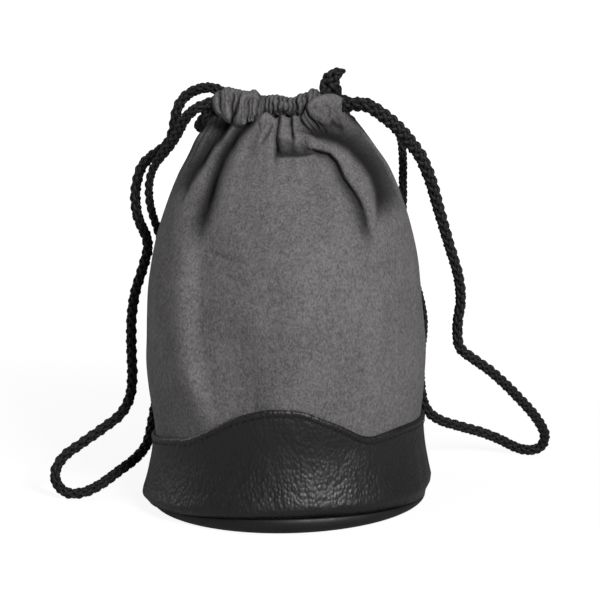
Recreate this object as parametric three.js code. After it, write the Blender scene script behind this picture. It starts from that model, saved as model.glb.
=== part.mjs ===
// Drawstring pouch for a camera lens: a round padded leather base, a soft suede body gathered at the
// mouth, two drawstring tunnels along the mouth, and two cord loops that pull out on opposite sides.
// Millimetres, +Z up, the front faces -Y, and the middle of the base stands on the origin.
import * as THREE from "three";

// Overall sizes
const baseRadius = 60;
const pouchHeight = 173;
const suedeThickness = 1.4;
const leatherThickness = 1.3;
const fitGap = 0.3;

// Base
const rimHeight = 6;
const rimInset = 2.6;
const rimRounding = 5;
const boardThickness = 2;
const foamThickness = 5;
const liningThickness = 0.8;
const bandFoamHeight = 9;

// Leather band: height at the sides, rise of the wave at the front, half the wave's angle, how much higher
// the edge is on the right, and how its foot tucks in onto the rim
const bandSideHeight = 34;
const bandWaveRise = 16.8;
const bandWaveHalfAngle = 47;
const bandEdgeLean = 1.8;
const bandTuck = 2.4;
const bandTuckHeight = 3.4;
const bandFlareHeight = 23;
const bandFlarePower = 1.7;
const bandColumnCount = 28;
const bandRowCount = 7;

// Suede body: half width and half depth as fractions of the base radius, at fractions of the pouch's height
const bodyHalfWidth = [
  [0.03, 0.905],
  [0.19, 0.913],
  [0.28, 0.947],
  [0.37, 0.963],
  [0.53, 0.938],
  [0.66, 0.857],
  [0.79, 0.727],
  [0.88, 0.555],
];
const bodyHalfDepth = [
  [0.03, 0.905],
  [0.19, 0.913],
  [0.28, 0.947],
  [0.37, 0.963],
  [0.53, 0.93],
  [0.66, 0.81],
  [0.79, 0.58],
  [0.88, 0.3],
];
const neckHalfWidth = 28;
const neckSquareRatio = 0.6;
const gatherStartRatio = 0.6;
const panelColumnCount = 40;
const panelLowRowCount = 6;
const panelMiddleRowCount = 3;
const panelHighRowCount = 10;
const lowRowsEndRatio = 0.36;
const middleRowsEndRatio = 0.57;

// Main folds of the gathered suede. A line is [x, z] in fractions of the base radius and of the pouch's
// height, from the mouth down; a fold presses in by its depth and spreads to its left and right, all three
// in fractions of the base radius.
const frontFolds = [
  {
    line: [
      [-0.233, 0.908],
      [-0.293, 0.889],
      [-0.357, 0.861],
      [-0.41, 0.809],
      [-0.433, 0.758],
      [-0.483, 0.712],
      [-0.545, 0.666],
      [-0.608, 0.613],
    ],
    depth: 0.092,
    left: 0.057,
    right: 0.093,
  },
  {
    line: [
      [-0.447, 0.888],
      [-0.497, 0.855],
      [-0.547, 0.806],
      [-0.613, 0.751],
      [-0.692, 0.676],
    ],
    depth: 0.075,
    left: 0.067,
    right: 0.063,
  },
  {
    line: [
      [0.233, 0.855],
      [0.323, 0.85],
      [0.37, 0.838],
      [0.42, 0.798],
      [0.502, 0.757],
      [0.535, 0.724],
      [0.587, 0.679],
      [0.642, 0.624],
    ],
    depth: 0.083,
    left: 0.077,
    right: 0.057,
  },
  {
    line: [
      [0.343, 0.879],
      [0.41, 0.868],
      [0.487, 0.857],
      [0.537, 0.831],
      [0.587, 0.799],
      [0.643, 0.769],
      [0.7, 0.74],
      [0.775, 0.682],
    ],
    depth: 0.083,
    left: 0.06,
    right: 0.087,
  },
  {
    line: [
      [0, 0.876],
      [0.117, 0.872],
      [0.233, 0.867],
    ],
    depth: 0.075,
    left: 0.073,
    right: 0.067,
  },
];
const rearFolds = [
  {
    line: [[0.283, 0.867], [0.367, 0.815], [0.45, 0.74], [0.517, 0.647]],
    depth: 0.083,
    left: 0.07,
    right: 0.06,
  },
  { line: [[0.45, 0.861], [0.55, 0.798], [0.633, 0.694]], depth: 0.067, left: 0.07, right: 0.06 },
  { line: [[0.075, 0.861], [0.133, 0.798], [0.175, 0.694]], depth: 0.053, left: 0.06, right: 0.067 },
  { line: [[-0.158, 0.855], [-0.225, 0.786], [-0.267, 0.671]], depth: 0.067, left: 0.06, right: 0.067 },
  { line: [[-0.35, 0.861], [-0.45, 0.792], [-0.533, 0.659]], depth: 0.083, left: 0.06, right: 0.073 },
  { line: [[-0.5, 0.85], [-0.6, 0.775], [-0.667, 0.682]], depth: 0.067, left: 0.06, right: 0.073 },
];
const foldSpreadRatio = 0.4;
const foldFadeLength = 9;

// Drawstring tunnels, one along each long side of the mouth
const tunnelLength = 55;
const tunnelWall = 1.2;
const mouthGap = 9.2;
const rearDrop = 4;
const tunnelRipple = 0.5;
const tunnelRippleCount = 8;

// Cords
const cordDiameter = 4.8;
const cordClearance = 0.35;
const cordSideCount = 8;
const cordStep = 15;
const heldLength = 14;
const knotRadius = 5;
const knotGap = 0.05;
const bightReach = 3.2;
const bightDroop = 4;

// Values that follow from the sizes above
const tunnelHollowHeight = 2 * cordDiameter + 3 * cordClearance;
const tunnelHollowWidth = cordDiameter + 2 * cordClearance;
const tunnelHeight = tunnelHollowHeight + 2 * tunnelWall;
const tunnelWidth = tunnelHollowWidth + 2 * tunnelWall;
const tunnelOffset = (mouthGap + tunnelWidth) / 2;
const frontTunnelBottom = pouchHeight - tunnelHeight - tunnelRipple;
const neckTop = frontTunnelBottom - fitGap;
const lowerTrack = frontTunnelBottom + tunnelWall + cordClearance + cordDiameter / 2;
const upperTrack = lowerTrack + cordDiameter + cordClearance;
const exitX = tunnelLength / 2;
const prongEndX = exitX - heldLength - fitGap / 2;
const neckHalfDepth = tunnelOffset + suedeThickness / 2;
const panelBottom = rimHeight + fitGap;
const evenly = (from, to, count) => Array.from({ length: count }, (_, k) => from + ((to - from) * k) / count);
const panelLevels = [
  ...evenly(panelBottom, lowRowsEndRatio * pouchHeight, panelLowRowCount),
  ...evenly(lowRowsEndRatio * pouchHeight, middleRowsEndRatio * pouchHeight, panelMiddleRowCount),
  ...evenly(middleRowsEndRatio * pouchHeight, neckTop, panelHighRowCount),
  neckTop,
];
const panelRowCount = panelLevels.length - 1;

const colours = {
  suede: 0x6b6a68,
  leather: 0x3f3e3d,
  rim: 0x282726,
  cord: 0x262526,
  board: 0x8a7458,
  foam: 0x2b2b2e,
  lining: 0x55524e,
};

const clamp = (value, low, high) => Math.min(high, Math.max(low, value));
const smooth = (t) => t * t * (3 - 2 * t);
const rise = (value, from, to) => smooth(clamp((value - from) / (to - from), 0, 1));

// A smooth curve through [position, value] points, read at one position.
function valueAt(points, at) {
  const last = points.length - 1;
  let k = 0;
  while (k < last - 1 && at > points[k + 1][0]) k += 1;
  const slope = (i) => {
    const a = points[Math.max(i - 1, 0)];
    const b = points[Math.min(i + 1, last)];
    return (b[1] - a[1]) / (b[0] - a[0]);
  };
  const [from, start] = points[k];
  const [to, end] = points[k + 1];
  const span = to - from;
  const t = clamp((at - from) / span, 0, 1);
  const t2 = t * t;
  const t3 = t2 * t;
  const ends = start * (2 * t3 - 3 * t2 + 1) + end * (3 * t2 - 2 * t3);
  return ends + span * (slope(k) * (t3 - 2 * t2 + t) + slope(k + 1) * (t3 - t2));
}

// The body's profiles, closed at the top by the neck.
const neckLevel = neckTop / pouchHeight;
const widthPoints = [...bodyHalfWidth, [neckLevel, neckHalfWidth / baseRadius]];
const depthPoints = [...bodyHalfDepth, [neckLevel, neckHalfDepth / baseRadius]];
const halfWidthAt = (z) => baseRadius * valueAt(widthPoints, z / pouchHeight);
const halfDepthAt = (z) => baseRadius * valueAt(depthPoints, z / pouchHeight);

function finish(colour, roughness) {
  return new THREE.MeshStandardMaterial({ color: colour, roughness, metalness: 0 });
}

// Turns a solid's faces outward.
function outward(geometry) {
  const solid = geometry.index ? geometry.toNonIndexed() : geometry;
  const p = solid.attributes.position;
  const a = new THREE.Vector3();
  const b = new THREE.Vector3();
  const c = new THREE.Vector3();
  let volume = 0;
  for (let i = 0; i < p.count; i += 3) {
    a.fromBufferAttribute(p, i);
    b.fromBufferAttribute(p, i + 1);
    c.fromBufferAttribute(p, i + 2);
    volume += a.dot(b.cross(c));
  }
  if (volume < 0) {
    for (let i = 0; i < p.count; i += 3) {
      b.fromBufferAttribute(p, i + 1);
      c.fromBufferAttribute(p, i + 2);
      p.setXYZ(i + 1, c.x, c.y, c.z);
      p.setXYZ(i + 2, b.x, b.y, b.z);
    }
  }
  return solid;
}

function solidFrom(points, faces) {
  const geometry = new THREE.BufferGeometry();
  geometry.setAttribute("position", new THREE.Float32BufferAttribute(points.flat(), 3));
  geometry.setIndex(faces.flat());
  return outward(geometry);
}

// A sheet with two faces, outer(u, v) and inner(u, v), closed along its four edges.
function sheetSolid(across, up, outer, inner) {
  const points = [];
  const faces = [];
  for (const side of [outer, inner]) {
    for (let i = 0; i <= across; i += 1) {
      for (let j = 0; j <= up; j += 1) points.push(side(i / across, j / up));
    }
  }
  const half = (across + 1) * (up + 1);
  const at = (i, j) => i * (up + 1) + j;
  const quad = (a, b, c, d) => faces.push([a, b, c], [a, c, d]);
  for (let i = 0; i < across; i += 1) {
    for (let j = 0; j < up; j += 1) {
      quad(at(i, j), at(i + 1, j), at(i + 1, j + 1), at(i, j + 1));
      quad(half + at(i, j), half + at(i, j + 1), half + at(i + 1, j + 1), half + at(i + 1, j));
    }
    quad(at(i + 1, 0), at(i, 0), half + at(i, 0), half + at(i + 1, 0));
    quad(at(i, up), at(i + 1, up), half + at(i + 1, up), half + at(i, up));
  }
  for (let j = 0; j < up; j += 1) {
    quad(at(0, j), at(0, j + 1), half + at(0, j + 1), half + at(0, j));
    quad(at(across, j + 1), at(across, j), half + at(across, j), half + at(across, j + 1));
  }
  return solidFrom(points, faces);
}

// A hollow tube from closed outer and inner sections, outer(i, k) and inner(i, k), along stations i.
function sleeveSolid(stations, around, outer, inner) {
  const points = [];
  const faces = [];
  for (const side of [outer, inner]) {
    for (let i = 0; i <= stations; i += 1) {
      for (let k = 0; k < around; k += 1) points.push(side(i / stations, k / around));
    }
  }
  const half = (stations + 1) * around;
  const at = (i, k) => i * around + (k % around);
  const quad = (a, b, c, d) => faces.push([a, b, c], [a, c, d]);
  for (let k = 0; k < around; k += 1) {
    for (let i = 0; i < stations; i += 1) {
      quad(at(i, k), at(i + 1, k), at(i + 1, k + 1), at(i, k + 1));
      quad(half + at(i, k), half + at(i, k + 1), half + at(i + 1, k + 1), half + at(i + 1, k));
    }
    quad(at(0, k + 1), half + at(0, k + 1), half + at(0, k), at(0, k));
    quad(at(stations, k), half + at(stations, k), half + at(stations, k + 1), at(stations, k + 1));
  }
  return solidFrom(points, faces);
}

function turned(profile, segments = 48) {
  const outline = profile.map(([r, z]) => new THREE.Vector2(r, z));
  const geometry = new THREE.LatheGeometry(outline, segments);
  geometry.rotateX(Math.PI / 2);
  return outward(geometry);
}

// A disc with square edges.
const disc = (radius, bottom, thickness) => turned([
  [0, bottom],
  [radius, bottom],
  [radius, bottom + thickness],
  [0, bottom + thickness],
]);

// A round cord along a list of points. It is straight between the first two points, and between the last
// two where bothHeld is set.
function cord(route, bothHeld = false) {
  const path = new THREE.CatmullRomCurve3(route.map((p) => new THREE.Vector3(...p)), false, "centripetal");
  const spans = route.length - 1;
  const shares = [0];
  for (let k = 1; k < spans; k += 1) {
    const straight = bothHeld && k === spans - 1;
    const length = path.points[k].distanceTo(path.points[k + 1]);
    const steps = straight ? 1 : Math.ceil(length / cordStep);
    for (let j = 0; j < steps; j += 1) shares.push((k + j / steps) / spans);
  }
  shares.push(1);
  const first = path.points[1].clone().sub(path.points[0]).normalize();
  const last = path.points[spans].clone().sub(path.points[spans - 1]).normalize();
  const normal = new THREE.Vector3(0, 0, 1);
  const points = [];
  const faces = [];
  shares.forEach((share, ring) => {
    let tangent = path.getTangent(share);
    if (ring < 2) tangent = first;
    if (bothHeld && ring >= shares.length - 2) tangent = last;
    normal.addScaledVector(tangent, -normal.dot(tangent)).normalize();
    const side = tangent.clone().cross(normal);
    const centre = path.getPoint(share);
    for (let k = 0; k < cordSideCount; k += 1) {
      const angle = (2 * Math.PI * (k + 0.5)) / cordSideCount;
      const spot = centre.clone();
      spot.addScaledVector(normal, (cordDiameter / 2) * Math.cos(angle));
      spot.addScaledVector(side, (cordDiameter / 2) * Math.sin(angle));
      points.push(spot.toArray());
    }
    if (ring === 0) return;
    const from = (ring - 1) * cordSideCount;
    for (let k = 0; k < cordSideCount; k += 1) {
      const next = (k + 1) % cordSideCount;
      faces.push([from + k, from + next, from + cordSideCount + next]);
      faces.push([from + k, from + cordSideCount + next, from + cordSideCount + k]);
    }
  });
  const end = points.length - cordSideCount;
  for (let k = 1; k < cordSideCount - 1; k += 1) {
    faces.push([0, k + 1, k], [end, end + k, end + k + 1]);
  }
  return solidFrom(points, faces);
}

// Base: a leather dish, a board, a foam pad and a lining disc.
const dishFlat = baseRadius - rimInset - rimRounding;
const dishTurn = (radius, angle) => [
  dishFlat + radius * Math.sin(angle),
  rimRounding - radius * Math.cos(angle),
];
const dishEnd = Math.acos((rimRounding - rimHeight) / rimRounding);
const dishAngles = [0, 0.25, 0.5, 0.75, 1].map((share) => share * dishEnd);
const dishInner = rimRounding - leatherThickness;

function bottomPanel() {
  const under = dishAngles.map((angle) => dishTurn(rimRounding, angle));
  const over = dishAngles.map((angle) => dishTurn(dishInner, angle)).reverse();
  return turned([[0, 0], ...under, ...over, [0, leatherThickness]]);
}

const boardBottom = leatherThickness + fitGap;
const foamBottom = boardBottom + boardThickness + fitGap;
const liningBottom = foamBottom + foamThickness + fitGap;
const innerRadius = halfWidthAt(panelBottom) - suedeThickness;
const padRadius = innerRadius - 2 * fitGap;

// The band leans out from the body's wall to the base radius at its knee, and tucks in below it.
const bandKnee = panelBottom + bandTuckHeight;

function bandOuterAt(z) {
  const snug = halfWidthAt(z) + fitGap + leatherThickness;
  const low = clamp(1 - (z - bandKnee) / bandFlareHeight, 0, 1);
  const foot = halfWidthAt(panelBottom) + fitGap + leatherThickness;
  const tuck = bandTuck * clamp(1 - (z - panelBottom) / bandTuckHeight, 0, 1);
  return snug + (baseRadius - foot) * Math.pow(low, bandFlarePower) - tuck;
}

// Height of the band's edge at an angle from the middle of its half, positive to the right.
function bandTopAt(fromMiddle) {
  const share = clamp(Math.abs(fromMiddle) / THREE.MathUtils.degToRad(bandWaveHalfAngle), 0, 1);
  const side = bandSideHeight + bandEdgeLean * Math.sin(fromMiddle);
  return side + (bandWaveRise / 2) * (1 + Math.cos(Math.PI * share));
}

// The first row of the band is its tucked foot; the rest reach up to its edge in equal steps.
function bandLevelAt(v, top) {
  const first = 1 / bandRowCount;
  if (v < first) return panelBottom + (v / first) * bandTuckHeight;
  return bandKnee + ((v - first) / (1 - first)) * (top - bandKnee);
}

// Half of the band; facing is -1 at the front and 1 at the rear.
function band(facing) {
  const place = (u, v, inward) => {
    const angle = Math.PI * u;
    const z = bandLevelAt(v, bandTopAt(angle - Math.PI / 2));
    const r = bandOuterAt(z) - inward;
    return [-r * Math.cos(angle), facing * (r * Math.sin(angle) + fitGap / 2), z];
  };
  const outer = (u, v) => place(u, v, 0);
  const inner = (u, v) => place(u, v, leatherThickness);
  return sheetSolid(bandColumnCount, bandRowCount, outer, inner);
}

// Foam between the band's flare and the body.
function bandFoam() {
  const bottom = bandKnee;
  const profile = [];
  const steps = 4;
  for (let k = 0; k <= steps; k += 1) {
    const z = bottom + (bandFoamHeight * k) / steps;
    profile.push([bandOuterAt(z) - leatherThickness - fitGap, z]);
  }
  for (let k = steps; k >= 0; k -= 1) {
    const z = bottom + (bandFoamHeight * k) / steps;
    profile.push([halfWidthAt(z) + 2 * fitGap, z]);
  }
  profile.push(profile[0]);
  return turned(profile);
}

// How far a fold presses the suede in at a point of the front or rear view.
function foldPress({ line, depth, left, right }, x, z) {
  const spans = line.length - 1;
  let nearest = Infinity;
  let share = 0;
  let width = left;
  for (let k = 0; k < spans; k += 1) {
    const [[ax, az], [bx, bz]] = [line[k], line[k + 1]].map(([i, j]) => [i * baseRadius, j * pouchHeight]);
    const along = new THREE.Vector2(bx - ax, bz - az);
    const away = new THREE.Vector2(x - ax, z - az);
    const t = clamp(away.dot(along) / along.lengthSq(), 0, 1);
    away.addScaledVector(along, -t);
    if (away.length() < nearest) {
      nearest = away.length();
      share = (k + t) / spans;
      width = along.cross(away) > 0 ? right : left;
    }
  }
  const spread = width * baseRadius * (1 + foldSpreadRatio * share);
  return depth * baseRadius * (1 - rise(share, 0.7, 1)) * Math.exp(-Math.pow(nearest / spread, 2));
}

// Half of the suede body; facing is -1 at the front and 1 at the rear.
function bodyPanel(facing) {
  const folds = facing < 0 ? frontFolds : rearFolds;
  const place = (u, v, inward) => {
    const angle = Math.PI * u;
    const level = panelLevels[Math.round(v * panelRowCount)];
    const gathered = rise(level / pouchHeight, gatherStartRatio, neckLevel);
    const a = halfWidthAt(level);
    const b = halfDepthAt(level);
    const power = 1 / (1 + neckSquareRatio * gathered * gathered);
    const c = Math.cos(angle);
    const s = Math.sin(angle);
    const across = Math.sign(c) * Math.pow(Math.abs(c), power);
    const deep = Math.pow(Math.abs(s), power);
    const normal = new THREE.Vector2(b * across, a * deep).normalize();
    const x = -(a * across - inward * normal.x);
    const y = b * deep - inward * normal.y;
    const tip = clamp((facing * y) / b / 0.45, -1, 1);
    const back = 0.5 + 0.5 * Math.sin((Math.PI / 2) * tip);
    const z = level - rearDrop * gathered * back;
    const seam = rise(Math.abs(s), 0, 0.25);
    const below = rise(neckTop - level, 0, foldFadeLength);
    const press = folds.reduce((sum, fold) => sum + foldPress(fold, x, z), 0) * seam * below;
    return [x, facing * (y - press + fitGap / 2), z];
  };
  const outer = (u, v) => place(u, v, 0);
  const inner = (u, v) => place(u, v, suedeThickness);
  return sheetSolid(panelColumnCount, panelRowCount, outer, inner);
}

// A drawstring tunnel along X with gathers on its outside.
function casing(facing) {
  const bottom = frontTunnelBottom - (facing > 0 ? rearDrop : 0);
  const middle = bottom + tunnelHeight / 2;
  const section = (turn, halfWidth, halfHeight, power) => {
    const c = Math.cos(2 * Math.PI * turn);
    const s = Math.sin(2 * Math.PI * turn);
    const round = (value) => Math.sign(value) * Math.pow(Math.abs(value), power);
    return [halfWidth * round(c), halfHeight * round(s)];
  };
  const place = (u, turn, halfWidth, halfHeight, power) => {
    const [y, z] = section(turn, halfWidth, halfHeight, power);
    return [(u - 0.5) * tunnelLength, facing * tunnelOffset + y, middle + z];
  };
  const outer = (u, turn) => {
    const gather = 0.5 - 0.5 * Math.cos(2 * Math.PI * tunnelRippleCount * u);
    const outside = facing * Math.cos(2 * Math.PI * turn) > 0.3 ? 1 : 0;
    const ripple = tunnelRipple * gather * outside;
    return place(u, turn, tunnelWidth / 2 + ripple, tunnelHeight / 2, 0.5);
  };
  const inner = (u, turn) => place(u, turn, tunnelHollowWidth / 2, tunnelHollowHeight / 2, 0.3);
  return sleeveSolid(tunnelRippleCount * 2, 12, outer, inner);
}

// Cord routes. A route point outside the tunnels is [x, y, z] in fractions of the base radius across and
// of the pouch's height upward, and no cord sinks into the floor.
const onRoute = ([x, y, z]) => [
  x * baseRadius,
  y * baseRadius,
  Math.max(z * pouchHeight, cordDiameter / 2),
];

// The straight stretch inside a tunnel, from its inner end to its exit; side is -1 left or 1 right.
function prong(side, facing, track) {
  const z = track - (facing > 0 ? rearDrop : 0);
  return [-prongEndX, exitX].map((x) => [side * x, facing * tunnelOffset, z]);
}

const leftKnotPlace = [-0.87, 0.66, 0.45];
const rightKnotPlace = [0.323, 0.308, 0.965];

// Left cord, front strand: out of the front tunnel and down behind the left side to the knot.
const leftFrontRoute = [
  [-0.525, -0.18, 0.958],
  [-0.597, -0.153, 0.941],
  [-0.665, -0.09, 0.911],
  [-0.746, 0, 0.864],
  [-0.812, 0.057, 0.836],
  [-0.88, 0.115, 0.803],
  [-0.93, 0.185, 0.757],
  [-0.938, 0.255, 0.706],
  [-0.914, 0.377, 0.642],
  [-0.88, 0.48, 0.57],
];
// Left cord, rear strand: an arc above the mouth, down the left side, a loop that touches the floor,
// and up again behind the left side to the knot.
const leftRearRoute = [
  [-0.54, 0.2, 0.983],
  [-0.6, 0.217, 0.977],
  [-0.659, 0.233, 0.965],
  [-0.707, 0.237, 0.946],
  [-0.742, 0.242, 0.912],
  [-0.76, 0.249, 0.881],
  [-0.8, 0.257, 0.85],
  [-0.862, 0.264, 0.831],
  [-0.926, 0.27, 0.816],
  [-0.987, 0.28, 0.794],
  [-1.035, 0.305, 0.745],
  [-1.043, 0.345, 0.677],
  [-1.015, 0.383, 0.638],
  [-0.985, 0.415, 0.597],
  [-1.006, 0.42, 0.556],
  [-1.076, 0.385, 0.482],
  [-1.101, 0.33, 0.425],
  [-1.101, 0.26, 0.36],
  [-1.091, 0.165, 0.28],
  [-1.108, 0.12, 0.238],
  [-1.169, 0.09, 0.201],
  [-1.29, 0.065, 0.169],
  [-1.442, 0.045, 0.133],
  [-1.573, 0.02, 0.1],
  [-1.629, 0.005, 0.065],
  [-1.615, 0, 0.034],
  [-1.536, -0.03, 0.016],
  [-1.436, -0.01, 0.016],
  [-1.335, 0.075, 0.026],
  [-1.214, 0.22, 0.048],
  [-1.103, 0.37, 0.07],
  [-1.042, 0.475, 0.095],
  [-1.01, 0.57, 0.145],
  [-0.967, 0.62, 0.224],
  [-0.914, 0.65, 0.324],
];
// Right cord, long strand: out of the front tunnel, down the right side, a loop that touches the floor
// behind, and up again behind the right side to the knot behind the mouth.
const rightRoute = [
  [0.53, -0.195, 0.95],
  [0.618, -0.195, 0.955],
  [0.69, -0.16, 0.934],
  [0.763, -0.11, 0.91],
  [0.827, -0.058, 0.883],
  [0.881, 0, 0.855],
  [0.939, 0.042, 0.823],
  [1.003, 0.1, 0.762],
  [1.048, 0.167, 0.696],
  [1.11, 0.25, 0.608],
  [1.177, 0.325, 0.515],
  [1.189, 0.38, 0.455],
  [1.163, 0.44, 0.388],
  [1.176, 0.49, 0.33],
  [1.275, 0.55, 0.295],
  [1.374, 0.617, 0.264],
  [1.478, 0.7, 0.224],
  [1.572, 0.8, 0.181],
  [1.66, 0.9, 0.138],
  [1.729, 1.015, 0.094],
  [1.763, 1.115, 0.054],
  [1.737, 1.165, 0.024],
  [1.667, 1.165, 0.014],
  [1.567, 1.19, 0.017],
  [1.433, 1.18, 0.041],
  [1.298, 1.13, 0.064],
  [1.159, 1.05, 0.085],
  [1.019, 0.95, 0.11],
  [0.935, 0.85, 0.141],
  [0.907, 0.77, 0.186],
  [0.925, 0.7, 0.276],
  [0.945, 0.67, 0.383],
  [0.9, 0.64, 0.486],
  [0.778, 0.6, 0.587],
  [0.79, 0.467, 0.657],
  [0.803, 0.342, 0.713],
  [0.809, 0.275, 0.789],
  [0.808, 0.258, 0.826],
  [0.796, 0.25, 0.858],
  [0.745, 0.283, 0.888],
  [0.664, 0.333, 0.909],
  [0.587, 0.383, 0.927],
  [0.42, 0.425, 0.94],
  [0.36, 0.4, 0.95],
];
// Right cord, short strand: out of the rear tunnel and round to the knot.
const rightStubRoute = [
  [0.513, 0.192, 0.915],
  [0.492, 0.275, 0.921],
  [0.43, 0.317, 0.938],
];
// The knot's tails: one stands up and curls over to the right, and one lies behind the rear tunnel.
const longTailRoute = [
  [0.342, 0.283, 0.999],
  [0.374, 0.275, 1.009],
  [0.427, 0.267, 1.018],
];
const shortTailRoute = [
  [0.23, 0.375, 0.945],
  [0.175, 0.408, 0.922],
  [0.117, 0.417, 0.905],
];

// Ends a route square on the knot's surface.
function toKnot(route, knot) {
  const centre = new THREE.Vector3(...knot);
  const last = new THREE.Vector3(...route[route.length - 1]);
  const reach = knotRadius + knotGap;
  const end = centre.clone().add(last.sub(centre).setLength(reach));
  return [...route, end.toArray()];
}

const leftKnot = onRoute(leftKnotPlace);
const rightKnot = onRoute(rightKnotPlace);

function leftFrontCord() {
  return cord(toKnot([...prong(-1, -1, upperTrack), ...leftFrontRoute.map(onRoute)], leftKnot));
}

function leftRearCord() {
  return cord(toKnot([...prong(-1, 1, upperTrack), ...leftRearRoute.map(onRoute)], leftKnot));
}

function rightLongCord() {
  return cord(toKnot([...prong(1, -1, lowerTrack), ...rightRoute.map(onRoute)], rightKnot));
}

function rightStub() {
  return cord(toKnot([...prong(1, 1, lowerTrack), ...rightStubRoute.map(onRoute)], rightKnot));
}

function tail(route) {
  const placed = route.map(onRoute);
  return cord(toKnot([...placed].reverse(), rightKnot));
}

// The turn of a cord from the front tunnel to the rear one, on the side away from its loop.
function bight(side, track, droop) {
  const rear = track - rearDrop;
  const held = prongEndX + fitGap;
  const out = exitX + cordDiameter / 2 + bightReach;
  const middle = (track + rear) / 2 - droop;
  return cord([
    [side * held, -tunnelOffset, track],
    [side * exitX, -tunnelOffset, track],
    [side * (exitX + out) / 2, -tunnelOffset * 0.92, (track + track - droop) / 2],
    [side * out, 0, middle],
    [side * (exitX + out) / 2, tunnelOffset * 0.92, (rear + rear - droop) / 2],
    [side * exitX, tunnelOffset, rear],
    [side * held, tunnelOffset, rear],
  ], true);
}

function knot(centre) {
  const geometry = new THREE.SphereGeometry(knotRadius, 12, 8);
  geometry.translate(...centre);
  return outward(geometry);
}

const pieces = {
  bottom_panel: [bottomPanel(), finish(colours.rim, 0.6)],
  base_board: [disc(dishFlat, boardBottom, boardThickness), finish(colours.board, 0.9)],
  base_foam: [disc(padRadius, foamBottom, foamThickness), finish(colours.foam, 0.95)],
  base_lining: [disc(padRadius, liningBottom, liningThickness), finish(colours.lining, 0.95)],
  front_band: [band(-1), finish(colours.leather, 0.5)],
  rear_band: [band(1), finish(colours.leather, 0.5)],
  band_foam: [bandFoam(), finish(colours.foam, 0.95)],
  front_panel: [bodyPanel(-1), finish(colours.suede, 0.95)],
  rear_panel: [bodyPanel(1), finish(colours.suede, 0.95)],
  front_casing: [casing(-1), finish(colours.suede, 0.95)],
  rear_casing: [casing(1), finish(colours.suede, 0.95)],
  left_cord_front: [leftFrontCord(), finish(colours.cord, 0.8)],
  left_cord_rear: [leftRearCord(), finish(colours.cord, 0.8)],
  left_knot: [knot(leftKnot), finish(colours.cord, 0.8)],
  left_bight: [bight(1, upperTrack, 0), finish(colours.cord, 0.8)],
  right_cord: [rightLongCord(), finish(colours.cord, 0.8)],
  right_cord_stub: [rightStub(), finish(colours.cord, 0.8)],
  right_knot: [knot(rightKnot), finish(colours.cord, 0.8)],
  right_tail_long: [tail(longTailRoute), finish(colours.cord, 0.8)],
  right_tail_short: [tail(shortTailRoute), finish(colours.cord, 0.8)],
  right_bight: [bight(-1, lowerTrack, bightDroop), finish(colours.cord, 0.8)],
};

const pouch = new THREE.Group();
pouch.name = "lens_pouch";
for (const [name, [geometry, material]] of Object.entries(pieces)) {
  const mesh = new THREE.Mesh(geometry, material);
  mesh.name = name;
  pouch.add(mesh);
}

export default pouch;
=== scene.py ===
"""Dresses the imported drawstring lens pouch: suede body, gathered mouth, leather base and braided cords."""

import logging
import math
import random
from collections.abc import Sequence
from dataclasses import dataclass, field
from enum import Enum

import bmesh
import bpy
from mathutils import Matrix, Vector, noise


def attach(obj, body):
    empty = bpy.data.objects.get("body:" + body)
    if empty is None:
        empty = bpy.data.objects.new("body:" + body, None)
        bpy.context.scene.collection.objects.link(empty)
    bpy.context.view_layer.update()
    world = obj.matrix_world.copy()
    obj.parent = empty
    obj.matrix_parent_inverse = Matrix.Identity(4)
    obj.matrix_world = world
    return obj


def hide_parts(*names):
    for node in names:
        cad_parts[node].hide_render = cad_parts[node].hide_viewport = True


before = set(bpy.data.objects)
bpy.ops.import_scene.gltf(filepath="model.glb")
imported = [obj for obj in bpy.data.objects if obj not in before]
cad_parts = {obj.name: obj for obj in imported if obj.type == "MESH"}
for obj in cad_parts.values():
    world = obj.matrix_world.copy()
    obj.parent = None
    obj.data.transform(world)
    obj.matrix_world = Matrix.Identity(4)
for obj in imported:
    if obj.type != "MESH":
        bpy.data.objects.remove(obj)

LOG = logging.getLogger("lens_pouch")
MM = 0.001
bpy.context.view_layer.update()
# Name of the mesh layer that holds the shade painted into the suede's folds
FOLD_SHADE_LAYER = "fold"

Point = tuple[float, float, float]
Route = list[Point]
Span = tuple[float, float]


class Body(Enum):
    """The rigid bodies that pieces ride on."""

    POUCH = "pouch"
    LEFT = "left_drawstring"
    RIGHT = "right_drawstring"


class Side(Enum):
    """Which end of the mouth, as a sign along X."""

    LEFT = -1
    RIGHT = 1


class Facing(Enum):
    """Which long side of the mouth, as a sign along Y."""

    FRONT = -1
    REAR = 1


def clamp(value: float, low: float = 0.0, high: float = 1.0) -> float:
    """Keeps a value between two limits."""
    return max(low, min(high, value))


def rise(value: float, start: float, end: float) -> float:
    """A smooth step from 0 at start to 1 at end."""
    t = clamp((value - start) / (end - start))
    return t * t * (3.0 - 2.0 * t)


def bump(value: float, width: float) -> float:
    """A bell of height 1 about zero."""
    return math.exp(-((value / width) ** 2))


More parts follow.
